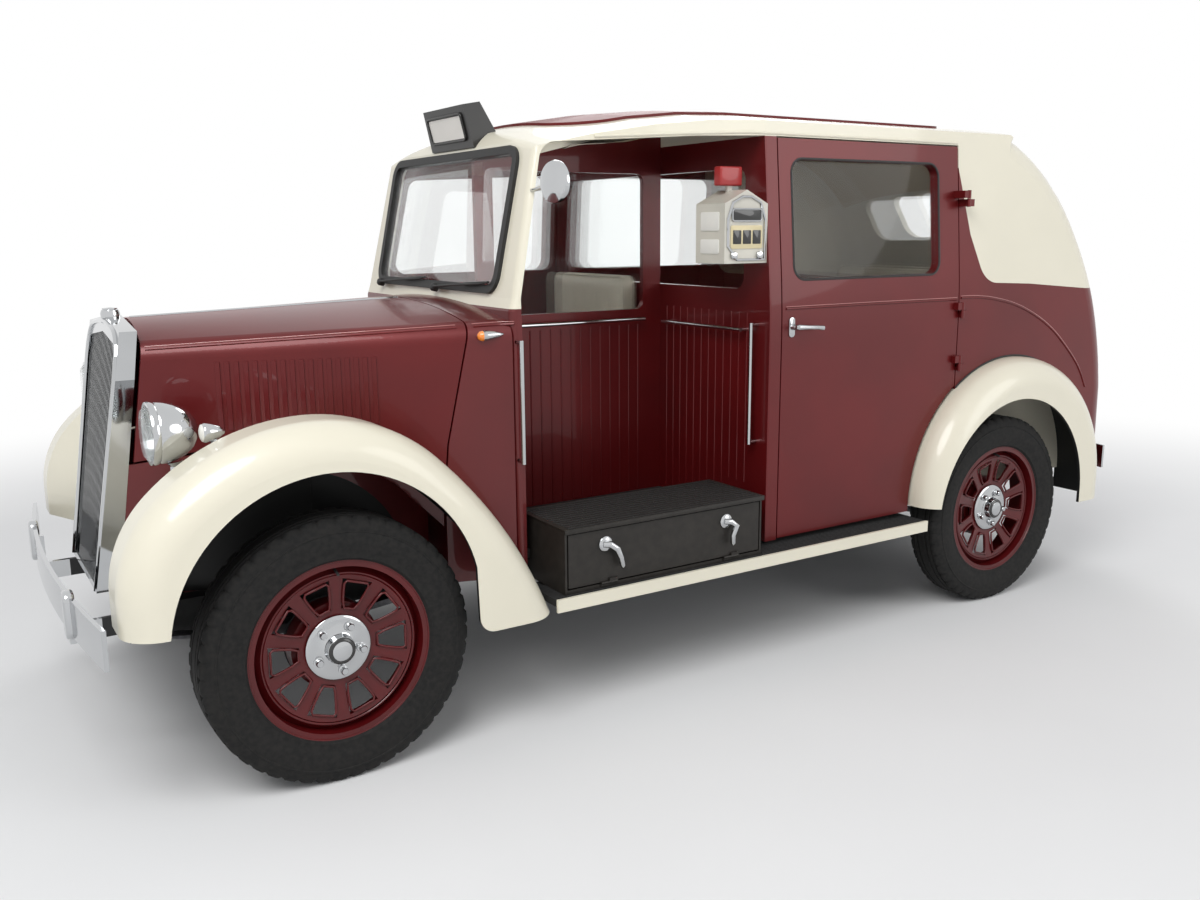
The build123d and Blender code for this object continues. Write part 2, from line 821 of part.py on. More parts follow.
# Valances: the nose below the bonnet, and the wheel arches' inner plates
valance_back_x = shut_foot_x + 22
with BuildPart() as nose_valances:
    add(nose_skin.part)
    with BuildSketch(Plane.XZ):
        with BuildLine():
            Polyline(
                (nose_edge_x(nose_foot_z) - fit_gap, nose_foot_z),
                (nose_edge_x(bonnet_foot_z - 8) - fit_gap, bonnet_foot_z - 8),
                (1640, 872),
                (1475, 896),
                (1330, 878),
                (1200, 798),
                (valance_back_x, 668),
                (valance_back_x, 600),
                (1200, 740),
                (1330, 830),
                (1430, 830),
                (1430, nose_foot_z),
                close=True,
            )
        make_face()
    extrude(amount=-clear_y, mode=Mode.INTERSECT)
    block((valance_back_x, 396, nose_foot_z), (1434, 408, 840))
    add(mirrored(nose_valances.part))
keep(nose_valances, "nose_valances")

# Wings
with BuildPart() as front_wings:
    add(front_wing())
    add(mirrored(front_wings.part))
keep(front_wings, "front_wings")

with BuildPart() as rear_wings:
    add(rear_wing())
    add(mirrored(rear_wings.part))
keep(rear_wings, "rear_wings")

# Running boards with their edging, and the locker on the luggage side
board_front_x = 838
board_back_x = rear_wing_x + rear_wing_radius + fit_gap
with BuildPart() as running_boards:
    side_blocks([
        (board_back_x, board_front_x, board_inner_y, board_outer_y, board_top_z - board_thickness, board_top_z)
    ])
keep(running_boards, "running_boards")

with BuildPart() as board_edgings:
    side_blocks([
        (board_back_x, board_front_x, board_outer_y + fit_gap, board_outer_y + 10, 360, board_top_z + 2)
    ])
keep(board_edgings, "board_edgings")

locker_wall = 10
flap_front_x, flap_back_x = locker_front_x - 12, locker_back_x + 12
flap_low_z, flap_high_z = 417, 583
locker_low_z = board_top_z + fit_gap
flap_hinge_y, flap_hinge_z = locker_outer_y + 4.5, 414.5
flap_hinges = (160, 640)
with BuildPart() as locker_box:
    block((locker_back_x, locker_inner_y, locker_low_z), (locker_front_x, locker_outer_y, locker_top_z))
    block(
        (locker_back_x + locker_wall, locker_inner_y + locker_wall, locker_low_z + locker_wall),
        (locker_front_x - locker_wall, locker_outer_y - locker_wall, locker_top_z - locker_wall),
        mode=Mode.SUBTRACT,
    )
    block(
        (flap_back_x - panel_gap, locker_outer_y - 20, flap_low_z - panel_gap),
        (flap_front_x + panel_gap, locker_outer_y + 1, flap_high_z + panel_gap),
        mode=Mode.SUBTRACT,
    )
    for x in flap_hinges:
        bar((x, flap_hinge_y, flap_hinge_z), (x + 30, flap_hinge_y, flap_hinge_z), 4)
        block((x, locker_outer_y - 2, flap_hinge_z - 10), (x + 30, flap_hinge_y, flap_hinge_z - 2))
keep(locker_box, "locker_box")

with BuildPart() as locker_flap:
    block((flap_back_x, locker_outer_y - 12, flap_low_z), (flap_front_x, locker_outer_y, flap_high_z))
    for x in flap_hinges:
        end_x = x - fit_gap
        bar((end_x - 30, flap_hinge_y, flap_hinge_z), (end_x, flap_hinge_y, flap_hinge_z), 4)
        block((end_x - 30, locker_outer_y - 2, flap_low_z + 0.5), (end_x, flap_hinge_y + 2, flap_low_z + 10))
keep(locker_flap, "locker_flap")

# Floor: plate, driver's seat box, heel board and rear seat pan
seat_pan_z = 690
heel_x = -972
floor_low_z = rail_foot_z + rail_height + fit_gap
with BuildPart() as floor:
    with BuildSketch(Plane.XY.offset(floor_low_z)):
        with BuildLine():
            Polyline(
                (heel_x + 12, wheelhouse_y - 1),
                (board_back_x, wheelhouse_y - 1),
                (board_back_x, 678),
                (taper_start_x, 678),
                (820, 558),
                (firewall_x - fit_gap, 520),
                (firewall_x - fit_gap, -520),
                (820, -558),
                (taper_start_x, -678),
                (board_back_x, -678),
                (board_back_x, 1 - wheelhouse_y),
                (heel_x + 12, 1 - wheelhouse_y),
                close=True,
            )
        make_face()
        with Locations(((locker_back_x + locker_front_x) / 2, locker_inner_y + 200)):
            Rectangle(locker_front_x - locker_back_x + 2 * fit_gap, 400 + 2 * fit_gap, mode=Mode.SUBTRACT)
    extrude(amount=floor_top_z - floor_low_z)
    block((heel_x, -585, floor_low_z), (heel_x + 12.5, 585, seat_pan_z))
    block((-1930, -585, seat_pan_z - 20), (heel_x + 1, 585, seat_pan_z))
    block((40, -560, floor_top_z - 1), (450, -60, 620))
    block((20, -548, floor_top_z), (438, -72, 608), mode=Mode.SUBTRACT)
keep(floor, "floor")

# Chassis frame: side rails kicked up over the rear axle, crossmembers and outriggers
rail_side = (
    (1950, 360), (1950, 440), (1900, 460), (-985, 460), (-1085, 590), (-1690, 590), (-1790, 415),
    (-2030, 415), (-2030, 330), (-1830, 330), (-1730, 490), (-1105, 490), (-1000, 360),
)
crossmembers = (
    (1880, 1925, 380, 440),
    (1270, 1330, 375, 425),
    (610, 670, 400, 455),
    (30, 90, 400, 455),
    (-530, -470, 400, 455),
    (-1570, -1510, 500, 580),
    (-2010, -1970, 340, 405),
)
outrigger_places = (700, 0, -650)
with BuildPart() as chassis_frame:
    with BuildSketch(Plane.XZ.offset(-rail_outer_y)):
        Polygon(*rail_side, align=None)
    extrude(amount=rail_outer_y - rail_inner_y)
    add(mirrored(chassis_frame.part))
    for low_x, high_x, low_z, high_z in crossmembers:
        block((low_x, -rail_inner_y - 10, low_z), (high_x, rail_inner_y + 10, high_z))
    side_blocks([
        (x - 25, x + 25, rail_outer_y - 5, board_outer_y - 20, 362, board_top_z - board_thickness - fit_gap)
        for x in outrigger_places
    ])
    side_blocks((
        (1890, 1935, 355, 435, 395, 430),
        (1030, 1075, 355, 392, 395, 430),
        (1030, 1075, 385, 435, 405, 430),
        (-880, -840, 355, 520, 395, 430),
        (-1640, -1600, 355, 520, 395, 560),
    ))
keep(chassis_frame, "chassis_frame")

# Springs: stacks of leaves under the rails
spring_leaves = ((0, 1.0), (1, 0.72), (2, 0.44))
leaf_thickness = 9
with BuildPart() as road_springs:
    for centre_x, y, half_length, low_z, end_z in (
        (front_x, spring_y, 425, 330, 394.7),
        (rear_x - 25, spring_y + 80, 375, 299.2, 394.7),
    ):
        for number, share in spring_leaves:
            for side in (1, -1):
                with BuildSketch(Plane.XZ.offset(-side * y)):
                    with BuildLine():
                        reach_x = half_length * share
                        base = low_z + leaf_thickness * (2 - number)
                        lift = (end_z - leaf_thickness - low_z - 2 * leaf_thickness) * share ** 2
                        low = ThreePointArc(
                            (centre_x - reach_x, base + lift), (centre_x, base), (centre_x + reach_x, base + lift)
                        )
                        side_up = Line(low @ 1, (centre_x + reach_x, base + lift + leaf_thickness))
                        top = ThreePointArc(
                            side_up @ 1,
                            (centre_x, base + leaf_thickness + 0.1),
                            (centre_x - reach_x, base + lift + leaf_thickness),
                        )
                        Line(top @ 1, low @ 0)
                    make_face()
                extrude(amount=spring_width / 2, both=True)
keep(road_springs, "road_springs")

# Front axle beam with an eye at each end for the kingpin
eye_radius = 30
eye_half = 40
beam_low_z, beam_high_z = 275, 329.7
with BuildPart() as front_axle:
    block((front_x - 25, -543, beam_low_z), (front_x + 25, 543, beam_high_z))
    side_blocks((
        (front_x - 25, front_x + 25, 505, 543, beam_low_z, tyre_radius + 32),
        (front_x - 25, front_x + 25, 520, kingpin_y - 5, tyre_radius - 32, tyre_radius + 32),
    ))
    for side in (1, -1):
        eye_foot = (front_x, side * kingpin_y, tyre_radius - eye_half)
        eye_head = (front_x, side * kingpin_y, tyre_radius + eye_half)
        bar(eye_foot, eye_head, eye_radius)
        bar(eye_foot, eye_head, kingpin_radius + running_gap, mode=Mode.SUBTRACT)
keep(front_axle, "front_axle")

# Steering knuckles: kingpin and yoke, brake backplate, stub axle and steering arm
stub_radius = 22
backplate_y = wheel_y - 64
stub_end_y = wheel_y + 15
yoke_gap = 0.5
yoke_thickness = 16
arm_x = front_x - 150
arm_z = 300
pin_radius = 8
yoke_low_z = tyre_radius - eye_half - yoke_gap
yoke_high_z = tyre_radius + eye_half + yoke_gap
with BuildPart() as left_knuckle:
    bar((front_x, kingpin_y, yoke_low_z - 1), (front_x, kingpin_y, yoke_high_z + 1), kingpin_radius)
    for low_z in (yoke_low_z - yoke_thickness, yoke_high_z):
        bar((front_x, kingpin_y, low_z), (front_x, kingpin_y, low_z + yoke_thickness), 30)
        block((front_x - 28, kingpin_y, low_z), (front_x + 28, backplate_y, low_z + yoke_thickness))
    block(
        (front_x - 28, kingpin_y + 37, yoke_low_z - yoke_thickness),
        (front_x + 28, backplate_y + 1, yoke_high_z + yoke_thickness),
    )
    bar((front_x, backplate_y, tyre_radius), (front_x, backplate_y + 6, tyre_radius), 124)
    bar((front_x, backplate_y, tyre_radius), (front_x, stub_end_y, tyre_radius), stub_radius)
    arm_low, arm_high = yoke_low_z - yoke_thickness, yoke_low_z
    block((arm_x, kingpin_y - 12, arm_low), (front_x, kingpin_y + 12, arm_high))
    bar((arm_x, kingpin_y, arm_low), (arm_x, kingpin_y, arm_high), 16)
    bar((arm_x, kingpin_y, arm_z - 18), (arm_x, kingpin_y, arm_high), pin_radius)
keep(left_knuckle, "left_knuckle")

with BuildPart() as right_knuckle:
    add(mirrored(left_knuckle.part))
keep(right_knuckle, "right_knuckle")

with BuildPart() as track_rod:
    rod_z = arm_z - 5
    bar((arm_x, -kingpin_y, rod_z), (arm_x, kingpin_y, rod_z), 9)
    for side in (1, -1):
        bar((arm_x, side * kingpin_y, rod_z - 10), (arm_x, side * kingpin_y, rod_z + 10), 18)
    for side in (1, -1):
        bore = pin_radius + running_gap
        bar((arm_x, side * kingpin_y, rod_z - 20), (arm_x, side * kingpin_y, rod_z + 20), bore, mode=Mode.SUBTRACT)
keep(track_rod, "track_rod")

# Rear axle: tube, differential casing, torque tube and brake backplates
torque_front_x = 700
with BuildPart() as rear_axle:
    bar((rear_x, -backplate_y, tyre_radius), (rear_x, backplate_y, tyre_radius), 45)
    bar((rear_x, -stub_end_y, tyre_radius), (rear_x, stub_end_y, tyre_radius), stub_radius)
    bar((rear_x, -70, tyre_radius), (rear_x, 70, tyre_radius), 120)
    bar((rear_x + 100, 0, tyre_radius), (torque_front_x - fit_gap, 0, 355), 25)
    for side in (1, -1):
        bar((rear_x, side * backplate_y, tyre_radius), (rear_x, side * (backplate_y + 6), tyre_radius), 124)
keep(rear_axle, "rear_axle")

# Engine and gearbox as one plain mass
with BuildPart() as engine_block:
    block((1130, -190, 440), (1760, 190, 1080))
    block((torque_front_x, -130, 300), (1131, 130, 455))
keep(engine_block, "engine_block")

# Exhaust: down pipe, silencer, tail pipe and hangers up to the crossmembers
pipe_y, pipe_z, pipe_radius = -240, 290, 20
down_pipe_x = 1230
with BuildPart() as exhaust:
    bar((down_pipe_x, pipe_y, pipe_z - pipe_radius), (down_pipe_x, pipe_y, 560), pipe_radius)
    bar((down_pipe_x, pipe_y, pipe_z), (-2020, pipe_y, pipe_z), pipe_radius)
    bar((-200, pipe_y, pipe_z), (400, pipe_y, pipe_z), 65)
    block((down_pipe_x - 25, pipe_y, 535), (down_pipe_x + 25, -190.3, 575))
    for hanger_x, hanger_top in ((640, 400), (-500, 400), (-1990, 340)):
        block((hanger_x - 10, pipe_y - 4, pipe_z), (hanger_x + 10, pipe_y + 4, hanger_top - fit_gap))
keep(exhaust, "exhaust")

with BuildPart() as fuel_tank:
    block((-1900, -285, 420), (-1600, 285, 620))
    fillet(fuel_tank.edges().filter_by(Axis.Y), 40)
    block((-1680, -299.7, 500), (-1640, 299.7, 530))
keep(fuel_tank, "fuel_tank")

# Radiator shell and slatted grille, both leaning back with the nose's front edge
shell_foot_z, shell_head_z = 480, 1240
shell_rim = 16
shell_depth_foot, shell_depth_head = 62, 46


def leaning_slab(from_front, depth_share):
    """Side view of a slab in the radiator: set back from its front, and a share of its depth thick."""
    foot_front = nose_edge_x(shell_foot_z) + shell_depth_foot - from_front
    head_front = nose_edge_x(shell_head_z) + shell_depth_head - from_front
    foot_back = foot_front - shell_depth_foot * depth_share
    head_back = head_front - shell_depth_head * depth_share
    with BuildPart() as slab:
        with BuildSketch(Plane.XZ):
            Polygon(
                (foot_back, shell_foot_z), (foot_front, shell_foot_z),
                (head_front, shell_head_z), (head_back, shell_head_z), align=None,
            )
        extrude(amount=300, both=True)
    return slab.part


def radiator_outline(grow, head_drop):
    """Front view of the radiator shell, wider at the top with rounded corners."""
    with BuildSketch(Plane.YZ.offset(nose_front_x - 10)) as outline:
        with BuildLine():
            Polyline(
                (-232 - grow, shell_foot_z - grow),
                (232 + grow, shell_foot_z - grow),
                (266 + grow, 1080),
                (262 + grow, shell_head_z - 28 - head_drop),
                (0, shell_head_z - head_drop),
                (-262 - grow, shell_head_z - 28 - head_drop),
                (-266 - grow, 1080),
                close=True,
            )
        make_face()
        fillet(outline.vertices().filter_by(lambda v: v.Z > shell_head_z - 90 and abs(v.Y) > 100), 85 + grow)
    return outline.sketch


with BuildPart() as radiator_shell:
    add(leaning_slab(0, 1))
    extrude(to_extrude=radiator_outline(0, 0), amount=300, mode=Mode.INTERSECT)
    extrude(to_extrude=radiator_outline(-shell_rim, 44), amount=300, mode=Mode.SUBTRACT)
    cap_x = nose_front_x + shell_depth_head / 2 + 6
    bar((cap_x, 0, shell_head_z - 30), (cap_x, 0, shell_head_z + 22), 21)
keep(radiator_shell, "radiator_shell")

slat_count = 22
slat_width = 5
slat_gap = 3
grille_half = 196
with BuildPart() as slats:
    with BuildSketch(Plane.YZ.offset(nose_front_x)):
        for number in range(slat_count):
            share = number / (slat_count - 1) * 2 - 1
            with BuildLine():
                Polyline(
                    (share * grille_half - slat_width / 2, shell_foot_z),
                    (share * grille_half + slat_width / 2, shell_foot_z),
                    (share * (grille_half + 36) + slat_width / 2, shell_head_z),
                    (share * (grille_half + 36) - slat_width / 2, shell_head_z),
                    close=True,
                )
            make_face()
    extrude(amount=300)
    add(leaning_slab(slat_gap, 0.5), mode=Mode.INTERSECT)

with BuildPart() as radiator_grille:
    add(leaning_slab(shell_depth_head / 2, 0.2))
    add(slats.part)
    extrude(to_extrude=radiator_outline(-shell_rim - fit_gap, 44 + fit_gap), amount=300, mode=Mode.INTERSECT)
keep(radiator_grille, "radiator_grille")

# Headlamps: hollow bowls on short stems that stand on the wings
lamp_wall = 9
stem_x = lamp_x - 60
# Outline of a bowl from its rim to its back: distance behind the rim, share of its radius
bowl_points = ((0, 1.0), (16, 1.0), (58, 0.86), (100, 0.52), (lamp_length, 0))
with BuildPart() as lamp_bowls:
    for side in (-1, 1):
        outer = [(lamp_x - back, lamp_z + share * lamp_radius) for back, share in bowl_points]
        inner = [(lamp_x - back, lamp_z + share * (lamp_radius - lamp_wall)) for back, share in bowl_points[:-1]]
        with BuildSketch(Plane.XZ.offset(-side * lamp_y)):
            with BuildLine():
                Polyline(*outer, (lamp_x - lamp_length + lamp_wall, lamp_z), *reversed(inner), outer[0])
            make_face()
        revolve(axis=Axis((0, side * lamp_y, lamp_z), (1, 0, 0)))
        bar((stem_x, side * lamp_y, 790), (stem_x, side * lamp_y, lamp_z - lamp_radius + 14), 15)
    add(front_wings.part, mode=Mode.SUBTRACT)

with BuildPart() as headlamps:
    add(lamp_bowls.solids().filter_by(lambda v: v.bounding_box().max.Z > lamp_z))
keep(headlamps, "headlamps")

# Bumpers: bowed blades on irons from the chassis rails
blade_thickness = 12


def bumper_blade(nose_x, end_x, half, low_z, high_z):
    """A bowed blade; nose_x is its outermost point and end_x that of its ends."""
    inward = blade_thickness if nose_x < 0 else -blade_thickness
    with BuildPart() as blade:
        with BuildSketch(Plane.XY.offset(low_z)):
            with BuildLine():
                outer = ThreePointArc((end_x, -half), (nose_x, 0), (end_x, half))
                tip = Line(outer @ 1, (end_x + inward, half))
                inner = ThreePointArc(tip @ 1, (nose_x + inward, 0), (end_x + inward, -half))
                Line(inner @ 1, outer @ 0)
            make_face()
        extrude(amount=high_z - low_z)
    return blade.part


with BuildPart() as front_bumper:
    add(bumper_blade(bumper_nose_x, 2066, 750, 440, 545))
    side_blocks((
        (1950 + fit_gap, 2091, 322, 338, 385, 440),
        (2079, 2096, 315, 345, 385, 530),
    ))
keep(front_bumper, "front_bumper")

with BuildPart() as rear_bumper:
    add(bumper_blade(bumper_tail_x, -2025, 700, 430, 530))
    side_blocks((
        (-2100, -2030 - fit_gap, 322, 338, 345, 400),
        (-2100, -2082, 315, 345, 345, 515),
    ))
keep(rear_bumper, "rear_bumper")

# Roof sign and its blank pale panel
sign_front = ((753, 1742), (787, 1875))
sign_half_low, sign_half_high = 164, 154
with BuildPart() as roof_sign:
    with BuildSketch(Plane.XZ):
        Polygon(*sign_front, (724, 1887), (668, 1790), (700, 1740), align=None)
    extrude(amount=sign_half_low, both=True)
    with BuildSketch(Plane.YZ.offset(600)):
        Polygon(
            (-sign_half_low - 4, 1700), (sign_half_low + 4, 1700), (sign_half_high, 1888), (-sign_half_high, 1888),
            align=None,
        )
    extrude(amount=300, mode=Mode.INTERSECT)
    add(coach_outer, mode=Mode.SUBTRACT)
keep(roof_sign, "roof_sign")

sign_lean = Plane(origin=(770 + fit_gap, 0, 1808.5), x_dir=(0, 1, 0), z_dir=(133, 0, -34))
with BuildPart() as sign_panel:
    with BuildSketch(sign_lean):
        RectangleRounded(246, 72, 8)
    extrude(amount=3)
keep(sign_panel, "sign_panel")

# Taximeter with its pointed face, and a small blank sign above it
meter_back_x = post_front_x - panel_gap + fit_gap
with BuildPart() as taximeter:
    with BuildSketch(Plane.XZ.offset(-695)):
        Polygon(
            (meter_back_x, 1366), (136, 1366), (136, 1556), (46, 1600), (meter_back_x, 1556),
            align=None,
        )
    extrude(amount=150)
    block((40, 600, 1560), (60, 612, 1620))
    block((10, 590, 1617), (96, 622, 1673))
keep(taximeter, "taximeter")

# Seats: plain closed cushions
with BuildPart() as driver_seat:
    block((20, -575, 620 + fit_gap), (480, -45, 780))
    block((meter_back_x, -575, 800), (50, -45, 1310))
keep(driver_seat, "driver_seat")

with BuildPart() as rear_seat:
    block((-1490, -580, seat_pan_z + fit_gap), (-985, 580, 800))
    with BuildSketch(Plane.XZ):
        Polygon((-1500, 690.3), (-1640, 690.3), (-1700, 1300), (-1600, 1300), align=None)
    extrude(amount=575, both=True)
keep(rear_seat, "rear_seat")

# Steering column and wheel, square to the column
wheel_hub = (560, -330, 1130)
column_foot_x = wheel_hub[0] + 437
column_run = Vector(column_foot_x - wheel_hub[0], 0, 505 - wheel_hub[2])
column_way = column_run.normalized()
column_top = Vector(*wheel_hub) + column_way * 24
with BuildPart() as steering_column:
    bar(tuple(column_top), tuple(Vector(*wheel_hub) + column_run), 19)
    bar(tuple(column_top - column_way * 30), tuple(column_top), 9)
    block(
        (column_foot_x - 40, wheel_hub[1] - 40, floor_top_z + fit_gap),
        (min(column_foot_x + 30, firewall_x - 1), wheel_hub[1] + 40, 520),
    )
keep(steering_column, "steering_column")

hand_rim_radius = 200
with BuildPart() as steering_wheel:
    hub_plane = Plane(origin=wheel_hub, x_dir=(0, 1, 0), z_dir=-column_way)
    hub_side = Vector(0, 1, 0).cross(-column_way)
    with BuildSketch(Plane(origin=wheel_hub, x_dir=(0, 1, 0), z_dir=hub_side)):
        with Locations((hand_rim_radius, 0)):
            RegularPolygon(11, 6)
    revolve(axis=Axis(wheel_hub, -column_way))
    with Locations(hub_plane.location):
        Cylinder(26, 36)
        for turn in (0, 90, 180, 270):
            with Locations(Rotation(0, 0, turn)):
                with Locations((hand_rim_radius / 2, 0, 0)):
                    Box(hand_rim_radius, 12, 8)
    with Locations(hub_plane.location):
        Cylinder(9 + running_gap, 60, mode=Mode.SUBTRACT)
keep(steering_wheel, "steering_wheel")

# Grab rails: bars on two feet
rail_radius = 7
rails = (
    ((848, 634, 790), (848, 634, 1150), (0, -31.4, 0)),
    ((-12, 660, 760), (-12, 660, 1160), (-30.7, 0, 0)),
    ((60, 130, 1150), (640, 130, 1150), (0, -34.7, 0)),
    ((-12, 160, 1140), (-12, 600, 1140), (-30.7, 0, 0)),
)
with BuildPart() as grab_rails:
    for low, high, foot in rails:
        over = (Vector(*high) - Vector(*low)).normalized() * rail_radius
        bar(tuple(Vector(*low) - over), tuple(Vector(*high) + over), rail_radius)
        for end in (low, high):
            bar(end, tuple(Vector(*end) + Vector(*foot)), rail_radius - 1)
keep(grab_rails, "grab_rails")

# Door mirror on an arm from the windscreen post
mirror_head = (811, 780, 1607)
with BuildPart() as side_mirror:
    bar((768, 570, 1592), mirror_head, 5)
    with Locations(Plane(origin=mirror_head, z_dir=(-1, -0.15, 0)).location):
        Cylinder(57, 10)
    add(coach_outer, mode=Mode.SUBTRACT)
keep(side_mirror, "side_mirror")

# Road wheels: rim, windowed disc, hub plate with its cap, and brake drum
hub_radius = 34
drum_radius = 122
lip_radius = rim_radius + 5
bed_radius = rim_radius - 5
lip_inner = rim_width / 2 - 5
window_count = 10
with BuildPart() as wheel_form:
    with BuildSketch(Plane.XY):
        Polygon(
            (bed_radius - 6, -rim_width / 2), (lip_radius, -rim_width / 2),
            (lip_radius, -lip_inner), (bed_radius, -lip_inner),
            (bed_radius, lip_inner), (lip_radius, lip_inner),
            (lip_radius, rim_width / 2), (bed_radius - 6, rim_width / 2), align=None,
        )
        Polygon(
            (bed_radius - 3, 10), (206, 38), (86, 20), (30, 20),
            (30, 10), (86, 10), (204, 28), (bed_radius - 4, 0), align=None,
        )
    revolve(axis=Axis.Y)
    with BuildSketch(Plane.XZ.offset(-60)):
        with PolarLocations(150, window_count):
            Polygon((-44, -20), (42, -43), (42, 43), (-44, 20), align=None)
    extrude(amount=60, mode=Mode.SUBTRACT)
    with BuildSketch(Plane.XY):
        Polygon(
            (0, -56), (hub_radius, -56), (hub_radius, -10), (drum_radius - 8, -10),
            (drum_radius - 8, -53), (drum_radius, -53), (drum_radius, 0), (0, 0), align=None,
        )
    revolve(axis=Axis.Y)
    bar((0, 0, 0), (0, 25, 0), 88)
    with BuildSketch(Plane.XY):
        Polygon((0, 20), (38, 20), (38, 42), (22, 54), (0, 54), align=None)
    revolve(axis=Axis.Y)
    bar((0, -60, 0), (0, 20, 0), stub_radius + running_gap, mode=Mode.SUBTRACT)

# Tyres: a closed section that sits on the rim's bed between its lips
with BuildPart() as tyre_form:
    with BuildSketch(Plane.XY):
        bed_half = lip_inner - 8
        Polygon(
            (bed_radius + fit_gap, -bed_half), (tyre_radius, -tyre_width / 2),
            (tyre_radius, tyre_width / 2), (bed_radius + fit_gap, bed_half), align=None,
        )
    revolve(axis=Axis.Y)

corners = (
    ("front_left", front_x, 1),
    ("front_right", front_x, -1),
    ("rear_left", rear_x, 1),
    ("rear_right", rear_x, -1),
)
for corner_name, x, side in corners:
    place = Location((x, side * wheel_y, tyre_radius), (0, 0, 0 if side > 0 else 180))
    for form, kind in ((wheel_form, "wheel"), (tyre_form, "tyre")):
        with BuildPart() as rolling:
            with Locations(place):
                add(form.part)
        keep(rolling, f"{corner_name}_{kind}")
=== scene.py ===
"""Looks of the vintage taxi cab: materials, trim, soft seats, floor, light and camera.

The part's frame: X forward, Y to the cab's left, Z up. Forms are written in
millimetres and turned into metres when a piece is made.
"""

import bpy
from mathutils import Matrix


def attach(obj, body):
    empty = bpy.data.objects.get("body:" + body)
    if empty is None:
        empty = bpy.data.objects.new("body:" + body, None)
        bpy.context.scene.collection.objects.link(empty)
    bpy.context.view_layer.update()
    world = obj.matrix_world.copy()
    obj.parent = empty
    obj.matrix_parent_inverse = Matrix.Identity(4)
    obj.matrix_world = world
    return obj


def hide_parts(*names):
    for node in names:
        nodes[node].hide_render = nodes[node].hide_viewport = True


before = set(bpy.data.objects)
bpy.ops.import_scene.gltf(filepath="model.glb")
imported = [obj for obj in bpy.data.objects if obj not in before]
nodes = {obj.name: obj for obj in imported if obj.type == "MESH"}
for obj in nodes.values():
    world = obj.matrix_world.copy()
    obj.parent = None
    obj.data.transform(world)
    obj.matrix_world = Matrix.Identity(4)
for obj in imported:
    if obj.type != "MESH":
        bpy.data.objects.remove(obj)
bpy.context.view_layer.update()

import math

import bmesh
import bpy
from mathutils import Matrix, Vector, noise as field
from mathutils.bvhtree import BVHTree

MM = 0.001

# Camera of the photograph, in metres and pixels
CAMERA_PLACE = (2.37515, 3.45599, 1.47776)
CAMERA_RIGHT = (-0.842373, 0.538854, -0.006601)
CAMERA_UP = (-0.113006, -0.164654, 0.979856)
FOCAL_PIXELS = 1083.6
PHOTO_WIDTH = 1200
SENSOR = 36.0

# Colours
MAROON = (0.125, 0.006, 0.007)
MAROON_DEEP = (0.102, 0.005, 0.006)
BLACK = (0.012, 0.012, 0.012)
CREAM = (0.76, 0.72, 0.59)
LEATHER = (0.78, 0.73, 0.60)
LINING = (0.62, 0.52, 0.34)

# Where paint turns black beneath the wings, in metres: middles of the arches (x, z) and how far the nose is
# black
NOSE_ARCH, NOSE_REACH = (1.50, 0.44), 0.36
FRONT_ARCH = (1.50, 0.40)
REAR_ARCH = (-1.27, 0.38)
# Where the bumpers' bright blades start, in metres from the cab's middle
BLADE_START = 2.012

# Places of the part in millimetres, as in its source
AXLES = (("front", 1485), ("rear", -1215))
WHEEL_Y = 710
AXLE_Z = 372
LAMP = (1883, 530, 971)
HAND_HUB = (560, -330, 1130)
HAND_WAY = (-0.573, 0.0, 0.8196)
HAND_RADIUS = 200
REAR_WING_X, REAR_WING_Z, REAR_WING_RADIUS = -1300, 440, 533
NOSE_FRONT, NOSE_BACK = 1838, 860
WAIST_Z = 1212
BOARD_BACK, BOARD_FRONT, BOARD_TOP = -750, 826, 398
LOCKER_BACK, LOCKER_FRONT, LOCKER_INNER, LOCKER_OUTER, LOCKER_TOP = 24, 799, 496, 790, 600
PLATFORM_TOP = 490

# Directions
AHEAD, BACK = (1, 0, 0), (-1, 0, 0)
LEFT, RIGHT = (0, 1, 0), (0, -1, 0)
UP, DOWN = (0, 0, 1), (0, 0, -1)
HANDS = (("left", 1), ("right", -1))


# Materials

def feed(node, values):
    """Give sockets of a node fixed values, or join them to the outputs of other nodes."""
    for name, value in values.items():
        if isinstance(value, bpy.types.NodeSocket):
            node.id_data.links.new(value, node.inputs[name])
        else:
            node.inputs[name].default_value = value


def add_node(tree, kind, values=None, **settings):
    """A shader node with its settings and inputs."""
    node = tree.nodes.new(f"ShaderNode{kind}")
    for setting, value in settings.items():
        setattr(node, setting, value)
    feed(node, values or {})
    return node


def maths(tree, operation, *values):
    """The result of a sum on numbers."""
    return add_node(tree, "Math", dict(enumerate(values)), operation=operation).outputs["Value"]


def vector_maths(tree, operation, *values, result="Vector"):
    """The result of a sum on vectors."""
    return add_node(tree, "VectorMath", dict(enumerate(values)), operation=operation).outputs[result]


def here(tree):
    """The place on the object, in its own coordinates."""
    return add_node(tree, "TexCoord").outputs["Object"]


def new_material(name):
    """An empty node material with its shader and output joined."""
    mat = bpy.data.materials.new(name)
    mat.use_nodes = True
    tree = mat.node_tree
    tree.nodes.clear()
    shader = add_node(tree, "BsdfPrincipled")
    add_node(tree, "OutputMaterial", {"Surface": shader.outputs["BSDF"]})
    return mat, tree, shader


def noise(tree, scale, detail=3.0, stretch=None):
    """Noise over the object's own coordinates, stretched along an axis if asked."""
    place = here(tree)
    if stretch:
        place = add_node(tree, "Mapping", {"Vector": place, "Scale": stretch}).outputs["Vector"]
    return add_node(tree, "TexNoise", {"Vector": place, "Scale": scale, "Detail": detail}).outputs["Fac"]


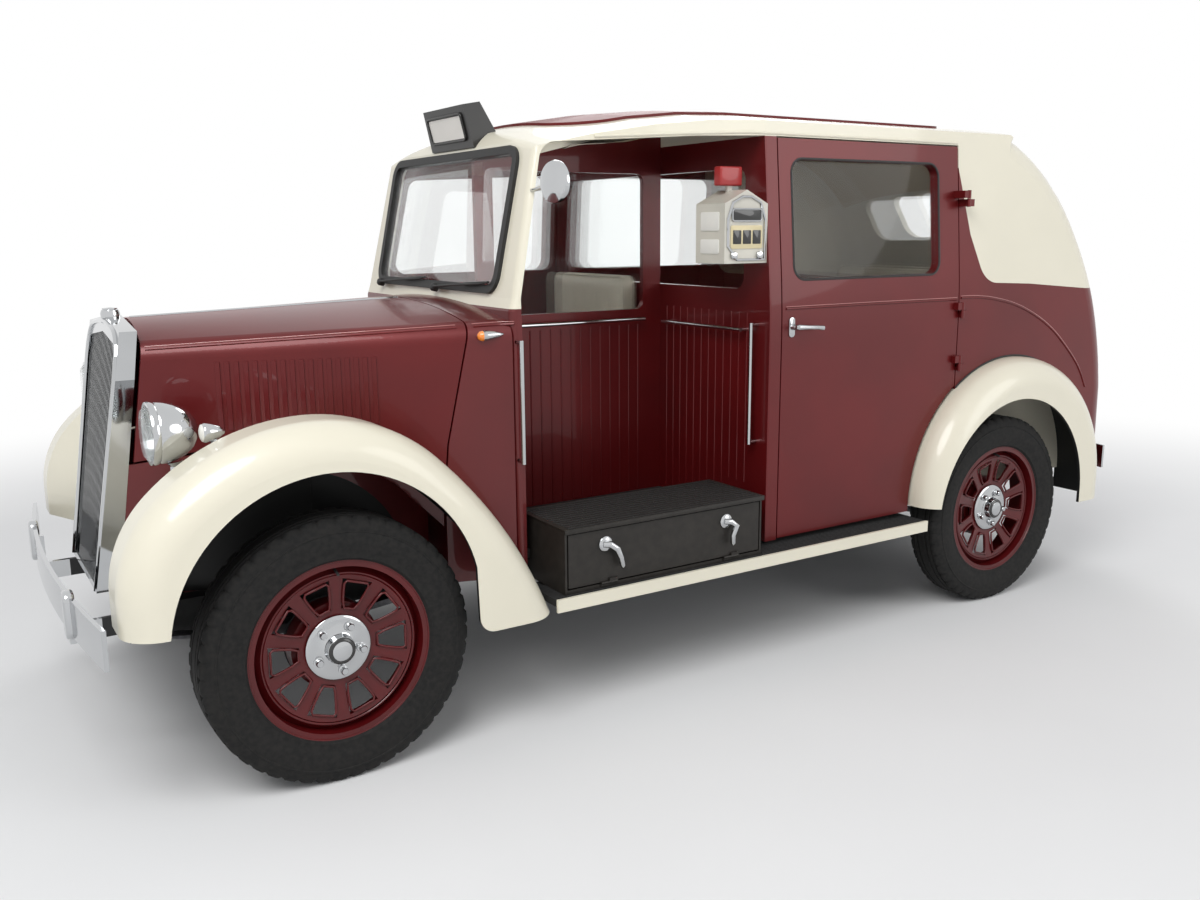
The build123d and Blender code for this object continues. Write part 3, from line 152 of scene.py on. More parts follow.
def colour_ramp(tree, source, low, high):
    """A colour that drifts between low and high with source."""
    ramp = add_node(tree, "ValToRGB", {"Fac": source})
    for element, place, colour in zip(ramp.color_ramp.elements, (0.35, 0.65), (low, high)):
        element.position = place
        element.color = (*colour, 1)
    return ramp.outputs["Color"]


def value_ramp(tree, source, low, high):
    """A number that drifts between low and high with source."""
    return add_node(tree, "MapRange", {"Value": source, "To Min": low, "To Max": high}).outputs["Result"]


def bump(tree, source, strength, distance):
    """A normal that source makes uneven."""
    values = {"Height": source, "Strength": strength, "Distance": distance}
    return add_node(tree, "Bump", values).outputs["Normal"]


def paint_parts(name, low, high, metallic=0.0, roughness=0.3, coat=1.0, scale=3.0, peel=0.0, shine=0.35):
    """Coach paint with a faint drift of tone, a clear coat and a little orange peel."""
    mat, tree, shader = new_material(name)
    drift = noise(tree, scale)
    feed(shader, {
        "Base Color": colour_ramp(tree, drift, low, high),
        "Metallic": metallic,
        "Roughness": value_ramp(tree, drift, roughness * 0.9, roughness * 1.1),
        "Specular IOR Level": shine,
        "Coat Weight": coat,
        "Coat Roughness": 0.04,
    })
    if peel:
        feed(shader, {"Normal": bump(tree, noise(tree, 90, detail=1.0), 0.05, peel)})
    return mat, tree, shader


def paint(name, low, high, **finish):
    """Glossy coach paint."""
    return paint_parts(name, low, high, **finish)[0]


def rough_stuff(
    name, low, high, roughness, scale, height=0.0004, metallic=0.0, sheen=0.0, stretch=None, shine=0.5,
):
    """A grained surface such as rubber, cast iron, leather or cloth."""
    mat, tree, shader = new_material(name)
    grain = noise(tree, scale, 6.0, stretch)
    feed(shader, {
        "Base Color": colour_ramp(tree, grain, low, high),
        "Metallic": metallic,
        "Roughness": value_ramp(tree, grain, roughness * 0.92, min(1, roughness * 1.08)),
        "Specular IOR Level": shine,
        "Sheen Weight": sheen,
        "Normal": bump(tree, grain, 0.35, height),
    })
    return mat


def glass(name, tint, alpha):
    """Thin window glass with a faint unevenness."""
    mat, tree, shader = new_material(name)
    feed(shader, {
        "Base Color": colour_ramp(tree, noise(tree, 2.0), tint, tuple(min(1, c * 1.08) for c in tint)),
        "Roughness": 0.03,
        "Transmission Weight": 1.0,
        "IOR": 1.08,
        "Alpha": alpha,
        "Coat Weight": 0.6,
        "Coat Roughness": 0.02,
    })
    return mat


def bumper_metal():
    """Bright blade, black irons: the finish changes with the distance from the middle."""
    mat, tree, shader = new_material("bumper_metal")
    along = add_node(tree, "SeparateXYZ", {"Vector": here(tree)}).outputs["X"]
    blade = maths(tree, "GREATER_THAN", maths(tree, "ABSOLUTE", along), BLADE_START)
    feed(shader, {
        "Base Color": colour_ramp(tree, blade, (0.012, 0.012, 0.013), (0.50, 0.51, 0.52)),
        "Metallic": blade,
        "Roughness": value_ramp(tree, blade, 0.45, 0.07),
    })
    return mat


def under_black(name, finish, arch, reach=None):
    """Coach paint that turns black beneath the wings.

    With a reach, everything nearer than that to the middle of the arch is black;
    without one, only the faces that look towards the wheel are.
    """
    mat, tree, shader = paint_parts(name, **finish)
    away = vector_maths(tree, "SUBTRACT", here(tree), (arch[0], 0, arch[1]))
    flat = vector_maths(tree, "MULTIPLY", away, (1, 0, 1) if reach else (1, 0.6, 1))
    if reach:
        measure = vector_maths(tree, "LENGTH", flat, result="Value")
    else:
        normal = add_node(tree, "NewGeometry").outputs["Normal"]
        measure = vector_maths(tree, "DOT_PRODUCT", flat, normal, result="Value")
    under = maths(tree, "LESS_THAN", measure, reach or -0.03)
    mix = add_node(tree, "Mix", {"Factor": under}, data_type="RGBA")
    above, below = (socket for socket in mix.inputs if socket.name in "AB" and socket.type == "RGBA")
    tree.links.new(shader.inputs["Base Color"].links[0].from_socket, above)
    below.default_value = (*BLACK, 1)
    feed(shader, {
        "Base Color": next(socket for socket in mix.outputs if socket.type == "RGBA"),
        "Coat Weight": value_ramp(tree, under, 0.5, 0.0),
    })
    return mat


def shade(colour, share):
    """The colour, darkened to a share of its brightness."""
    return tuple(share * c for c in colour)


def grey(value):
    """A neutral colour."""
    return (value, value, value)


PEEL = 0.0002
MAROON_PAINT = {"low": MAROON_DEEP, "high": MAROON, "metallic": 0.25, "roughness": 0.36, "coat": 0.22}
CREAM_PAINT = {"low": shade(CREAM, 0.97), "high": CREAM, "roughness": 0.38, "coat": 0.5}

maroon = paint("maroon", peel=PEEL, **MAROON_PAINT)
maroon_under = under_black("maroon_under", MAROON_PAINT, NOSE_ARCH, NOSE_REACH)
front_wing_cream = under_black("front_wing_cream", CREAM_PAINT, FRONT_ARCH)
rear_wing_cream = under_black("rear_wing_cream", CREAM_PAINT, REAR_ARCH)
roof_maroon = paint("roof_maroon", MAROON_DEEP, MAROON, roughness=0.55, coat=0.08, shine=0.25)
cream = paint("cream", peel=PEEL, **CREAM_PAINT)
black = paint("black", grey(0.010), (0.020, 0.019, 0.018), roughness=0.45, coat=0.25)
locker_black = rough_stuff(
    "locker_black", (0.014, 0.012, 0.010), (0.022, 0.019, 0.016), roughness=0.5, scale=35, shine=0.35,
)
chrome = paint("chrome", (0.47, 0.48, 0.49), (0.55, 0.56, 0.57), metallic=1.0, roughness=0.07, coat=0.0)
bumper_finish = bumper_metal()
# Wheel maroon, darker than the body's maroon: painted shade, as the wheels stand in the wings' shade.
wheel_maroon_painted_shade = paint(
    "wheel_maroon_painted_shade", (0.075, 0.003, 0.004), (0.095, 0.004, 0.005), roughness=0.36, coat=0.2, scale=8,
)
tyre_rubber = rough_stuff(
    "tyre_rubber", grey(0.009), (0.018, 0.017, 0.016), roughness=0.8, scale=70, height=0.0006, shine=0.25,
)
black_rubber = rough_stuff("black_rubber", grey(0.010), grey(0.020), roughness=0.6, scale=90)
mat_rubber = rough_stuff(
    "mat_rubber", grey(0.014), grey(0.026), roughness=0.75, scale=130, height=0.0005, shine=0.3,
)
leather = rough_stuff(
    "leather", shade(LEATHER, 0.9), LEATHER, roughness=0.48, scale=160, height=0.0007, sheen=0.1,
)
piping = rough_stuff("piping", shade(LEATHER, 0.8), shade(LEATHER, 0.9), roughness=0.5, scale=220)
lining = rough_stuff(
    "lining", shade(LINING, 0.86), LINING, roughness=0.9, scale=260, height=0.0005, sheen=0.4,
)
iron = rough_stuff(
    "iron", (0.03, 0.03, 0.032), (0.07, 0.07, 0.072), roughness=0.6, scale=40, height=0.001, metallic=0.6,
)
steel = rough_stuff("steel", (0.14, 0.14, 0.15), (0.24, 0.24, 0.25), roughness=0.45, scale=60, metallic=0.9)
frame_black = rough_stuff("frame_black", grey(0.010), grey(0.022), roughness=0.5, scale=30, height=0.0006)
window_glass = glass("window_glass", (0.90, 0.94, 0.93), alpha=0.32)
dark_plastic = paint("dark_plastic", grey(0.008), grey(0.016), roughness=0.25, coat=0.5)
meter_grey = paint("meter_grey", (0.50, 0.48, 0.42), (0.60, 0.575, 0.50), roughness=0.4, coat=0.4)
meter_face = paint("meter_face", (0.62, 0.52, 0.30), (0.70, 0.62, 0.40), roughness=0.5, coat=0.3)
sign_white = paint("sign_white", (0.74, 0.73, 0.68), (0.82, 0.81, 0.76), roughness=0.45, coat=0.2)
sign_red = paint("sign_red", (0.30, 0.02, 0.02), (0.42, 0.03, 0.03), roughness=0.4, coat=0.4)
# A pale rose stripe along the top of the beads: a coachline, and a painted highlight of the bead.
coachline_and_painted_highlight = paint("coachline_and_painted_highlight", (0.40, 0.16, 0.15), (0.50, 0.22, 0.20), roughness=0.4, coat=0.6)
amber = paint("amber", (0.85, 0.22, 0.02), (0.95, 0.30, 0.03), roughness=0.15)
red_lens = paint("red_lens", (0.40, 0.004, 0.004), (0.55, 0.01, 0.008), roughness=0.12)
walnut = rough_stuff(
    "walnut", (0.045, 0.018, 0.008), (0.12, 0.05, 0.02), roughness=0.3, scale=30, height=0.0002,
    stretch=(1, 0.15, 1),
)
gauge_black = paint("gauge_black", grey(0.006), grey(0.012), coat=0.8)

NODE_MATERIALS = {
    maroon: (
        "rear_body division side_partition rear_left_door rear_right_door driver_door "
        "left_bonnet right_bonnet"
    ),
    maroon_under: "scuttle nose_valances",
    roof_maroon: "roof_panel",
    cream: "roof_shell board_edgings",
    front_wing_cream: "front_wings",
    rear_wing_cream: "rear_wings",
    locker_black: "locker_box locker_flap",
    black: "roof_sign",
    chrome: "radiator_shell radiator_grille headlamps grab_rails side_mirror",
    bumper_finish: "front_bumper rear_bumper",
    window_glass: "fixed_glass rear_left_door_glass rear_right_door_glass driver_door_glass",
    black_rubber: "windscreen_frame",
    mat_rubber: "running_boards floor",
    frame_black: "chassis_frame front_axle rear_axle fuel_tank steering_column",
    steel: "road_springs exhaust track_rod",
    iron: "engine_block left_knuckle right_knuckle",
    dark_plastic: "steering_wheel",
    meter_grey: "taximeter",
    sign_white: "sign_panel",
    leather: "driver_seat rear_seat",
    wheel_maroon_painted_shade: "front_left_wheel front_right_wheel rear_left_wheel rear_right_wheel",
    tyre_rubber: "front_left_tyre front_right_tyre rear_left_tyre rear_right_tyre",
}
for material, names in NODE_MATERIALS.items():
    for name in names.split():
        mesh = nodes[name].data
        mesh.materials.clear()
        mesh.materials.append(material)


# Forms: points in millimetres and the faces between them

def combined(*forms):
    """Several forms as one."""
    points, faces = [], []
    for form_points, form_faces in forms:
        start = len(points)
        points.extend(form_points)
        faces.extend(tuple(index + start for index in face) for face in form_faces)
    return points, faces


def both_sides(form):
    """A form and its mirror image across the cab."""
    points, faces = form
    image = [(x, -y, z) for x, y, z in points], [tuple(reversed(face)) for face in faces]
    return combined(form, image)


def directions(axis):
    """An axis and two directions square to it."""
    axis = Vector(axis).normalized()
    side = Vector(UP if abs(axis.z) < 0.9 else AHEAD)
    first = axis.cross(side).normalized()
    return axis, first, axis.cross(first)


def rows_to_faces(rows, steps):
    """Quads between rings of points."""
    faces = []
    for row in range(rows - 1):
        for step in range(steps):
            after = (step + 1) % steps
            low, high = row * steps, (row + 1) * steps
            faces.append((low + step, low + after, high + after, high + step))
    return faces


def lathe(profile, origin, axis, steps=40, cut=None):
    """A turned form; profile gives (radius, distance along the axis) from end to end."""
    axis, first, second = directions(axis)
    points = []
    for radius, along in profile:
        for step in range(steps):
            turn = 2 * math.pi * step / steps
            size = radius - (cut(step, radius, along) if cut else 0)
            spot = Vector(origin) + axis * along + (first * math.cos(turn) + second * math.sin(turn)) * size
            points.append(tuple(spot))
    return points, rows_to_faces(len(profile), steps)


def tube(places, radius, steps=10, closed=False):
    """A round bar along places; radius is a number or one number for each place."""
    places = [Vector(place) for place in places]
    count = len(places)
    sizes = radius if isinstance(radius, (list, tuple)) else [radius] * count
    points, normal = [], None
    for index, place in enumerate(places):
        before = places[index - 1] if closed or index else place
        after = places[(index + 1) % count] if closed or index < count - 1 else place
        way = (after - before).normalized()
        normal = normal or directions(way)[1]
        normal = (normal - way * normal.dot(way)).normalized()
        other = way.cross(normal)
        for step in range(steps):
            turn = 2 * math.pi * step / steps
            points.append(tuple(place + (normal * math.cos(turn) + other * math.sin(turn)) * sizes[index]))
    faces = rows_to_faces(count, steps)
    if closed:
        last = (count - 1) * steps
        faces.extend((last + s, last + (s + 1) % steps, (s + 1) % steps, s) for s in range(steps))
    else:
        faces.append(tuple(range(steps)))
        faces.append(tuple(reversed(range((count - 1) * steps, count * steps))))
    return points, faces


def eased(work, bevel, segments):
    """Points and faces of a bmesh whose sharp edges are rounded."""
    sharp = [edge for edge in work.edges if len(edge.link_faces) == 2 and edge.calc_face_angle(0) > 0.6]
    bmesh.ops.bevel(work, geom=sharp, offset=bevel, segments=segments, affect="EDGES", profile=0.5)
    work.verts.index_update()
    points = [tuple(vert.co) for vert in work.verts]
    faces = [tuple(vert.index for vert in face.verts) for face in work.faces]
    work.free()
    return points, faces


def block(low, high, bevel=1.5, segments=2):
    """A box between two corners with rounded edges."""
    work = bmesh.new()
    bmesh.ops.create_cube(work, size=1)
    for vert in work.verts:
        vert.co = [(a + b) / 2 + c * (b - a) for a, b, c in zip(low, high, vert.co)]
    return eased(work, bevel, segments)


def slab(outline, place, depth, bevel=1.0, segments=2):
    """An outline given thickness; place turns (across, up, out) into a point."""
    work = bmesh.new()
    rings = [[work.verts.new(place(a, b, out)) for a, b in outline] for out in (0, depth)]
    count = len(outline)
    work.faces.new(rings[0])
    work.faces.new(reversed(rings[1]))
    for index in range(count):
        after = (index + 1) % count
        work.faces.new((rings[0][after], rings[0][index], rings[1][index], rings[1][after]))
    bmesh.ops.recalc_face_normals(work, faces=work.faces)
    return eased(work, bevel, segments)


def rounded(width, height, radius, centre=(0, 0), steps=6):
    """Outline of a rectangle with rounded corners."""
    outline = []
    for turn, (right, up) in enumerate(((1, 1), (-1, 1), (-1, -1), (1, -1))):
        for step in range(steps + 1):
            angle = math.pi / 2 * (turn + step / steps)
            outline.append((
                centre[0] + right * (width / 2 - radius) + radius * math.cos(angle),
                centre[1] + up * (height / 2 - radius) + radius * math.sin(angle),
            ))
    return outline


def add_piece(name, form, material, body="cab", sharp=35, stands_for=()):
    """Make a piece from a form, finish it and say which body it rides on."""
    points, faces = form
    mesh = bpy.data.meshes.new(name)
    mesh.from_pydata([tuple(v * MM for v in point) for point in points], [], faces)
    work = bmesh.new()
    work.from_mesh(mesh)
    bmesh.ops.remove_doubles(work, verts=work.verts, dist=0.00002)
    bmesh.ops.recalc_face_normals(work, faces=work.faces)
    work.to_mesh(mesh)
    work.free()
    mesh.materials.append(material)
    mesh.shade_smooth()
    mesh.set_sharp_from_angle(angle=math.radians(sharp))
    piece = bpy.data.objects.new(name, mesh)
    bpy.context.collection.objects.link(piece)
    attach(piece, body)
    if stands_for:
        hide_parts(*stands_for)
    return piece


# Finding places on the part's own surfaces

def surface(*names):
    """Something to cast rays at, made of the part's nodes."""
    points, faces = [], []
    for node_name in names:
        mesh = nodes[node_name].data
        start = len(points)
        points.extend(tuple(vert.co) for vert in mesh.vertices)
        faces.extend(tuple(index + start for index in face.vertices) for face in mesh.polygons)
    return BVHTree.FromPolygons(points, faces)


def cast(tree, start, way):
    """Where a ray from start meets the surface, in millimetres, or None."""
    hit = tree.ray_cast(Vector(start) * MM, Vector(way))[0]
    return None if hit is None else tuple(v / MM for v in hit)


def side_line(tree, line, side=1, lift=0.0, pitch=25):
    """Points on the cab's side along a line of (x, z) places."""
    found = []
    for (x0, z0), (x1, z1) in zip(line, line[1:]):
        count = max(1, int(math.hypot(x1 - x0, z1 - z0) / pitch))
        for step in range(count):
            share = step / count
            found.append((x0 + share * (x1 - x0), z0 + share * (z1 - z0)))
    found.append(line[-1])
    spots = [cast(tree, (x, side * 1200, z), (0, -side, 0)) for x, z in found]
    return [(x, y + side * lift, z) for x, y, z in filter(None, spots)]


def smooth_line(line, rounds=2):
    """The same line with its corners rounded."""
    for _ in range(rounds):
        cut = [line[0]]
        for a, b in zip(line, line[1:]):
            cut.append(tuple(0.75 * p + 0.25 * q for p, q in zip(a, b)))
            cut.append(tuple(0.25 * p + 0.75 * q for p, q in zip(a, b)))
        line = cut + [line[-1]]
    return line


# Wheels: moulded tyres, bright hub plates with nuts and domed caps
# Profiles give (radius, distance out from the wheel's middle)

TYRE_PROFILE = (
    (241, 40), (249, 49), (252, 57), (257, 61), (259, 64), (262, 64.5), (264, 64), (280, 70), (298, 73),
    (314, 74), (330, 72.6), (332, 74.2), (335, 74), (337, 71.8), (346, 70), (356, 67), (365, 61), (371, 54),
    (371.5, 44), (364, 42), (364, 38), (371.8, 36), (372, 24), (365, 22), (365, 18), (372, 16), (372, 0),
)
TREAD_STEPS, TREAD_EVERY, TREAD_DEPTH = 240, 5, 6
SHOULDER_RADIUS, SHOULDER_EDGE = 354, 43
HUB_PLATE = ((91, 24), (91, 28), (88, 30.5), (80, 31.5), (48, 32), (42, 35), (41, 44), (39, 50))
HUB_CAP = ((39, 50), (38, 54), (33, 58), (24, 61), (12, 63), (0, 63.5))
CAP_RING = ((37.6, 55.5), (36, 57.2), (31, 60), (28, 60.8), (27, 60.2))
NUT = ((14, 31), (14, 34), (10.5, 35), (10.5, 46), (8.5, 49), (0, 49.5))
NUT_COUNT, NUT_CIRCLE, NUT_PHASE = 5, 65, 0.07
RIM_LIP = ((246, 52), (249, 57), (252, 57.5), (253, 55), (251, 52))
RIM_GROOVE = ((209, 38.5), (211, 40.5), (214, 40), (215, 37))
WINDOW_COUNT = 10
# Half of a window's outline: radius, and share of the half pitch between two windows
WINDOW_SIDE = ((111, 0.42), (130, 0.56), (160, 0.62), (182, 0.62), (190, 0.5))


def tread(step, radius, along):
    """How deep the tread is cut at a place on the tyre."""
    on_shoulder = radius >= SHOULDER_RADIUS and abs(along) >= SHOULDER_EDGE
    return TREAD_DEPTH if on_shoulder and step % TREAD_EVERY == 0 else 0


def wheel_nuts(hub, out):
    """The nuts round the hub plate."""
    _, first, second = directions(out)
    nuts = []
    for number in range(NUT_COUNT):
        turn = 2 * math.pi * (number / NUT_COUNT + NUT_PHASE)
        spot = hub + (first * math.cos(turn) + second * math.sin(turn)) * NUT_CIRCLE
        nuts.append(lathe(NUT, spot, out, 18))
    return combined(*nuts)


def window_lips(hub, side):
    """A rolled lip round each window of the dished wheel."""
    half_pitch = math.pi / WINDOW_COUNT
    far_side = [(radius, -share) for radius, share in WINDOW_SIDE]
    outline = [WINDOW_SIDE[0]] + far_side + list(reversed(WINDOW_SIDE[1:]))
    lips = []
    for number in range(WINDOW_COUNT):
        line = []
        for radius, share in outline:
            turn = half_pitch * (2 * number + 1 + share)
            dish = 24 + (radius - 86) * 0.15
            line.append(hub + Vector((radius * math.sin(turn), side * dish, radius * math.cos(turn))))
        lips.append(tube(line, 3.6, 8, closed=True))
    return combined(*lips)


def add_wheel(corner, x, side):
    """A road wheel's tyre, hub plate with cap and nuts, window lips, rim beads and valve."""
    hub = Vector((x, side * WHEEL_Y, AXLE_Z))
    out = (0, side, 0)
    body = f"{corner}_wheel"
    inner_half = [(radius, -along) for radius, along in reversed(TYRE_PROFILE[:-1])]
    profile = [*TYRE_PROFILE, *inner_half, TYRE_PROFILE[0]]
    tyre = lathe(profile, hub, out, TREAD_STEPS, tread)
    add_piece(f"{corner}_tyre_moulded", tyre, tyre_rubber, body, stands_for=(f"{corner}_tyre",))
    plate = combined(lathe(HUB_PLATE, hub, out, 56), lathe(HUB_CAP, hub, out, 56), wheel_nuts(hub, out))
    add_piece(f"{corner}_hub_plate", plate, chrome, body)
    add_piece(f"{corner}_cap_ring", lathe(CAP_RING, hub, out, 56), gauge_black, body)
    # Window lips and rim beads take the wheels' darker maroon, which is painted shade.
    add_piece(f"{corner}_window_lips", window_lips(hub, side), wheel_maroon_painted_shade, body, sharp=60)
    beads = combined(lathe(RIM_LIP, hub, out, 96), lathe(RIM_GROOVE, hub, out, 96))
    add_piece(f"{corner}_rim_beads", beads, wheel_maroon_painted_shade, body)
    valve = tube([hub + Vector((0, side * 30, 222)), hub + Vector((0, side * 58, 214))], 4, 8)
    add_piece(f"{corner}_valve", valve, black_rubber, body)


for end, x in AXLES:
    for hand, side in HANDS:
        add_wheel(f"{end}_{hand}", x, side)


# Lamps: profiles give (radius, distance forward of the lamp's middle)

LAMP_BOWL = (
    (70, -3), (74, 1), (82, 1), (84, -4), (83, -14), (80, -18), (81.5, -22), (80, -40), (74, -62),
    (64, -84), (49, -103), (30, -117), (12, -123), (0, -124),
)
REFLECTOR = ((73, -8), (66, -34), (50, -58), (26, -72), (0, -76))
BULB = ((0, -34), (7, -38), (10, -48), (8, -60), (8, -74))
LENS_RADIUS, RIB_COUNT, RIB_PITCH = 68, 13, 10
SIDELIGHT = ((0, 34), (22, 31), (25, 28), (26, 23), (23, 8), (16, -12), (7, -25), (0, -28))
SIDELIGHT_LENS = ((23, 30), (21, 33), (13, 36.5), (0, 38))
SIDELIGHT_X, SIDELIGHT_Y = 1735, 600
INDICATOR = ((15.5, 12), (15, 24), (12, 44), (8, 62), (3, 76), (0, 80))
INDICATOR_LENS = ((0, -5), (8, -3), (13.5, 3), (15.5, 12))
INDICATOR_X, INDICATOR_Z = 960, 1172
REAR_LAMP_RIM = ((36, -10), (36, 10), (33, 14), (30, 14))
REAR_LAMP_LENS = ((31, 12), (27, 20), (16, 26), (0, 28))


def add_headlamps():
    """Smooth bowls on stems, reflectors, bulbs and ribbed lenses."""
    x, y, z = LAMP
    stem = tube([(x - 60, y, 800), (x - 60, y, 880), (x - 58, y, 893)], [17, 13, 22], 16)
    bowl = combined(lathe(LAMP_BOWL, LAMP, AHEAD, 56), stem)
    add_piece("headlamp_bowls", both_sides(bowl), chrome, stands_for=("headlamps",))
    add_piece("headlamp_reflectors", both_sides(lathe(REFLECTOR, LAMP, AHEAD, 48)), chrome)
    add_piece("headlamp_bulbs", both_sides(lathe(BULB, LAMP, AHEAD, 20)), sign_white)
    ribs = []
    for number in range(RIB_COUNT):
        across = (number - RIB_COUNT // 2) * RIB_PITCH
        half = math.sqrt(LENS_RADIUS ** 2 - across ** 2)
        ribs.append(tube([(x + 1, y + across, z - half), (x + 1, y + across, z + half)], 2.2, 6))
    add_piece("headlamp_lens_ribs", both_sides(combined(*ribs)), window_glass)


def add_small_lamps():
    """Sidelights on the wings, teardrop indicators on the scuttle and red rear lamps."""
    wing_top = cast(surface("front_wings"), (SIDELIGHT_X, SIDELIGHT_Y, 1200), DOWN)[2]
    middle = (SIDELIGHT_X, SIDELIGHT_Y, wing_top + 34)
    foot = (SIDELIGHT_X, SIDELIGHT_Y, wing_top - 3)
    stem = tube([foot, (SIDELIGHT_X, SIDELIGHT_Y, wing_top + 15)], [14, 8], 14)
    shell = combined(lathe(SIDELIGHT, middle, AHEAD, 36), stem)
    add_piece("sidelights", both_sides(shell), chrome)
    add_piece("sidelight_lenses", both_sides(lathe(SIDELIGHT_LENS, middle, AHEAD, 36)), sign_white)

    cowl_side = cast(surface("scuttle"), (INDICATOR_X - 20, 1200, INDICATOR_Z), RIGHT)[1]
    spot = (INDICATOR_X, cowl_side + 9, INDICATOR_Z)
    trailing = (-1, 0.11, 0.04)
    add_piece("indicator_bodies", both_sides(lathe(INDICATOR, spot, trailing, 24)), chrome)
    add_piece("indicator_lenses", both_sides(lathe(INDICATOR_LENS, spot, trailing, 24)), amber)

    spot = cast(surface("rear_wings"), (-2100, 745, 640), AHEAD)
    add_piece("rear_lamp_rims", both_sides(lathe(REAR_LAMP_RIM, spot, BACK, 32)), chrome)
    add_piece("rear_lamp_lenses", both_sides(lathe(REAR_LAMP_LENS, spot, BACK, 32)), red_lens)


add_headlamps()
add_small_lamps()


# Beads, pale stripes that are coachlines and painted highlights of the beads, and window rubbers on the
# coachwork: lines of (x, z) laid on the body's side

WAIST = ((-114, WAIST_Z), (-530, WAIST_Z), (-968, 1210))
DRIVER_WAIST = ((4, WAIST_Z), (400, WAIST_Z), (815, 1210))
QUARTER = (
    (-992, 1215), (-1100, 1214), (-1215, 1199), (-1340, 1170), (-1471, 1116), (-1570, 1060), (-1650, 997),
    (-1720, 935), (-1767, 884), (-1812, 810),
)
GUTTER = ((-975, 1781), (22, 1781), (200, 1773), (400, 1762), (560, 1753))
# The pale stripe above each bead is a coachline and a painted highlight; it sits just above the bead's top.
BEAD_RADIUS, COACHLINE_HIGHLIGHT_RADIUS, COACHLINE_HIGHLIGHT_RISE = 4.2, 1.5, 7
GUTTER_RADIUS, PIPING_RADIUS, RUBBER_RADIUS = 4.5, 3.5, 4.5


def shoulder(*places):
    """The bead along the bonnet's shoulder, which falls towards the radiator."""
    line = []
    for x in places:
        share = (x - NOSE_BACK) / (NOSE_FRONT - NOSE_BACK)
        line.append((x, 1203 - 42 * share))
    return line


def add_beads():
    """Half-round beads with a thin pale stripe above each: a coachline and a painted highlight of the bead.
    """
    quarter = smooth_line(QUARTER)
    nose = shoulder(982, 1200, 1500, 1826)
    cowl = shoulder(850, 900, 962)
    pairs = (
        ("rear_{}_door", "", WAIST), ("quarter_{}", "rear_body", quarter), ("{}_bonnet", "", nose),
        ("scuttle_{}", "scuttle", cowl),
    )
    runs = [(name.format(hand), node, line, side) for name, node, line in pairs for hand, side in HANDS]
    for name, node, line, side in [*runs, ("driver_door", "", DRIVER_WAIST, -1)]:
        body = "cab" if node else name
        tree = surface(node or name)
        bead = side_line(tree, line, side)
        # The pale stripe along the bead's top is a painted highlight as well as a coachline.
        stripe = side_line(tree, [(x, z + COACHLINE_HIGHLIGHT_RISE) for x, z in line], side, 0.4)
        add_piece(f"bead_{name}", tube(bead, BEAD_RADIUS, 8), maroon, body)
        add_piece(f"coachline_{name}", tube(stripe, COACHLINE_HIGHLIGHT_RADIUS, 6), coachline_and_painted_highlight, body)


def add_gutters_and_piping():
    """Gutters along the eaves and rubber piping where the rear wings meet the body."""
    reach = REAR_WING_RADIUS + 4
    arc = []
    for step in range(2, 60):
        turn = math.radians(3 * step)
        arc.append((REAR_WING_X + reach * math.cos(turn), REAR_WING_Z + reach * math.sin(turn)))
    roof, lower = surface("roof_shell"), surface("rear_body")
    for hand, side in HANDS:
        gutter = side_line(roof, GUTTER, side, 1.0)
        add_piece(f"gutter_{hand}", tube(gutter, GUTTER_RADIUS, 8), cream)
        edge = [place for place in side_line(lower, arc, side, 0.5) if abs(place[1]) > 640]
        add_piece(f"rear_wing_piping_{hand}", tube(edge, PIPING_RADIUS, 8), black_rubber)


def add_window_rubbers():
    """A rubber channel round the glass of each rear door."""
    line = rounded(720, 398, 49, (-512, 1505), 8)
    for hand, side in HANDS:
        node = f"rear_{hand}_door"
        loop = side_line(surface(node), [*line, line[0]], side, -1.5, 40)[:-1]
        add_piece(f"window_rubber_{node}", tube(loop, RUBBER_RADIUS, 8, closed=True), black_rubber, node)


def add_bonnet_hinge():
    """The bright piano hinge along the middle of the bonnet."""
    tree = surface("scuttle")
    spots = [cast(tree, (x, 0, 1600), DOWN) for x in range(975, 1834, 20)]
    spots = [spot for spot in spots if spot and spot[2] > 1100]
    add_piece("bonnet_hinge", tube(spots, 4.0, 10), chrome)


add_beads()
add_gutters_and_piping()
add_window_rubbers()
add_bonnet_hinge()


# Handles, wipers and other bright work

HANDLE_Z = 1150
HANDLES = (("rear_left_door", -138, -1, 1), ("rear_right_door", -138, -1, -1), ("driver_door", 62, 1, -1))
# A handle's lever: how far along the door, out from it and up each place is, and its radius there
LEVER = (
    (-8, 33, 2, 6), (0, 35, 2, 10), (40, 36, 0, 8), (90, 34, -3, 7.5), (116, 31, -6, 9), (122, 30, -7, 4),
)
LOCKER_LEVERS = ((652, -52), (182, -18))
LOCKER_BOSS = ((24, -1), (24, 5), (20, 9), (12, 11), (0, 12))
RADIATOR_CAP = ((22, -2), (26, 2), (27, 14), (24, 24), (15, 30), (0, 32))
RADIATOR_TOP = (1867, 0, 1232)
# The radiator shell's front edge as (half width, height), from its foot to its peak
SHELL_EDGE = (
    (224, 486), (240, 780), (257, 1070), (257, 1110), (250, 1150), (232, 1180), (205, 1200), (160, 1213),
)
WIPERS = ((60, 420), (-420, -60))
WIPER_SPINDLE = ((14, -14), (14, 4), (9, 10), (0, 12))
FRONT_BLADE, REAR_BLADE = 2084, -2082
PLATE_Z, PLATE_FACE = 610, -2078


def across_cab(face, way=1):
    """Turns (across, up, out) into a place on an upright plane across the cab."""
    return lambda across, up, out: (face + way * out, across, up)


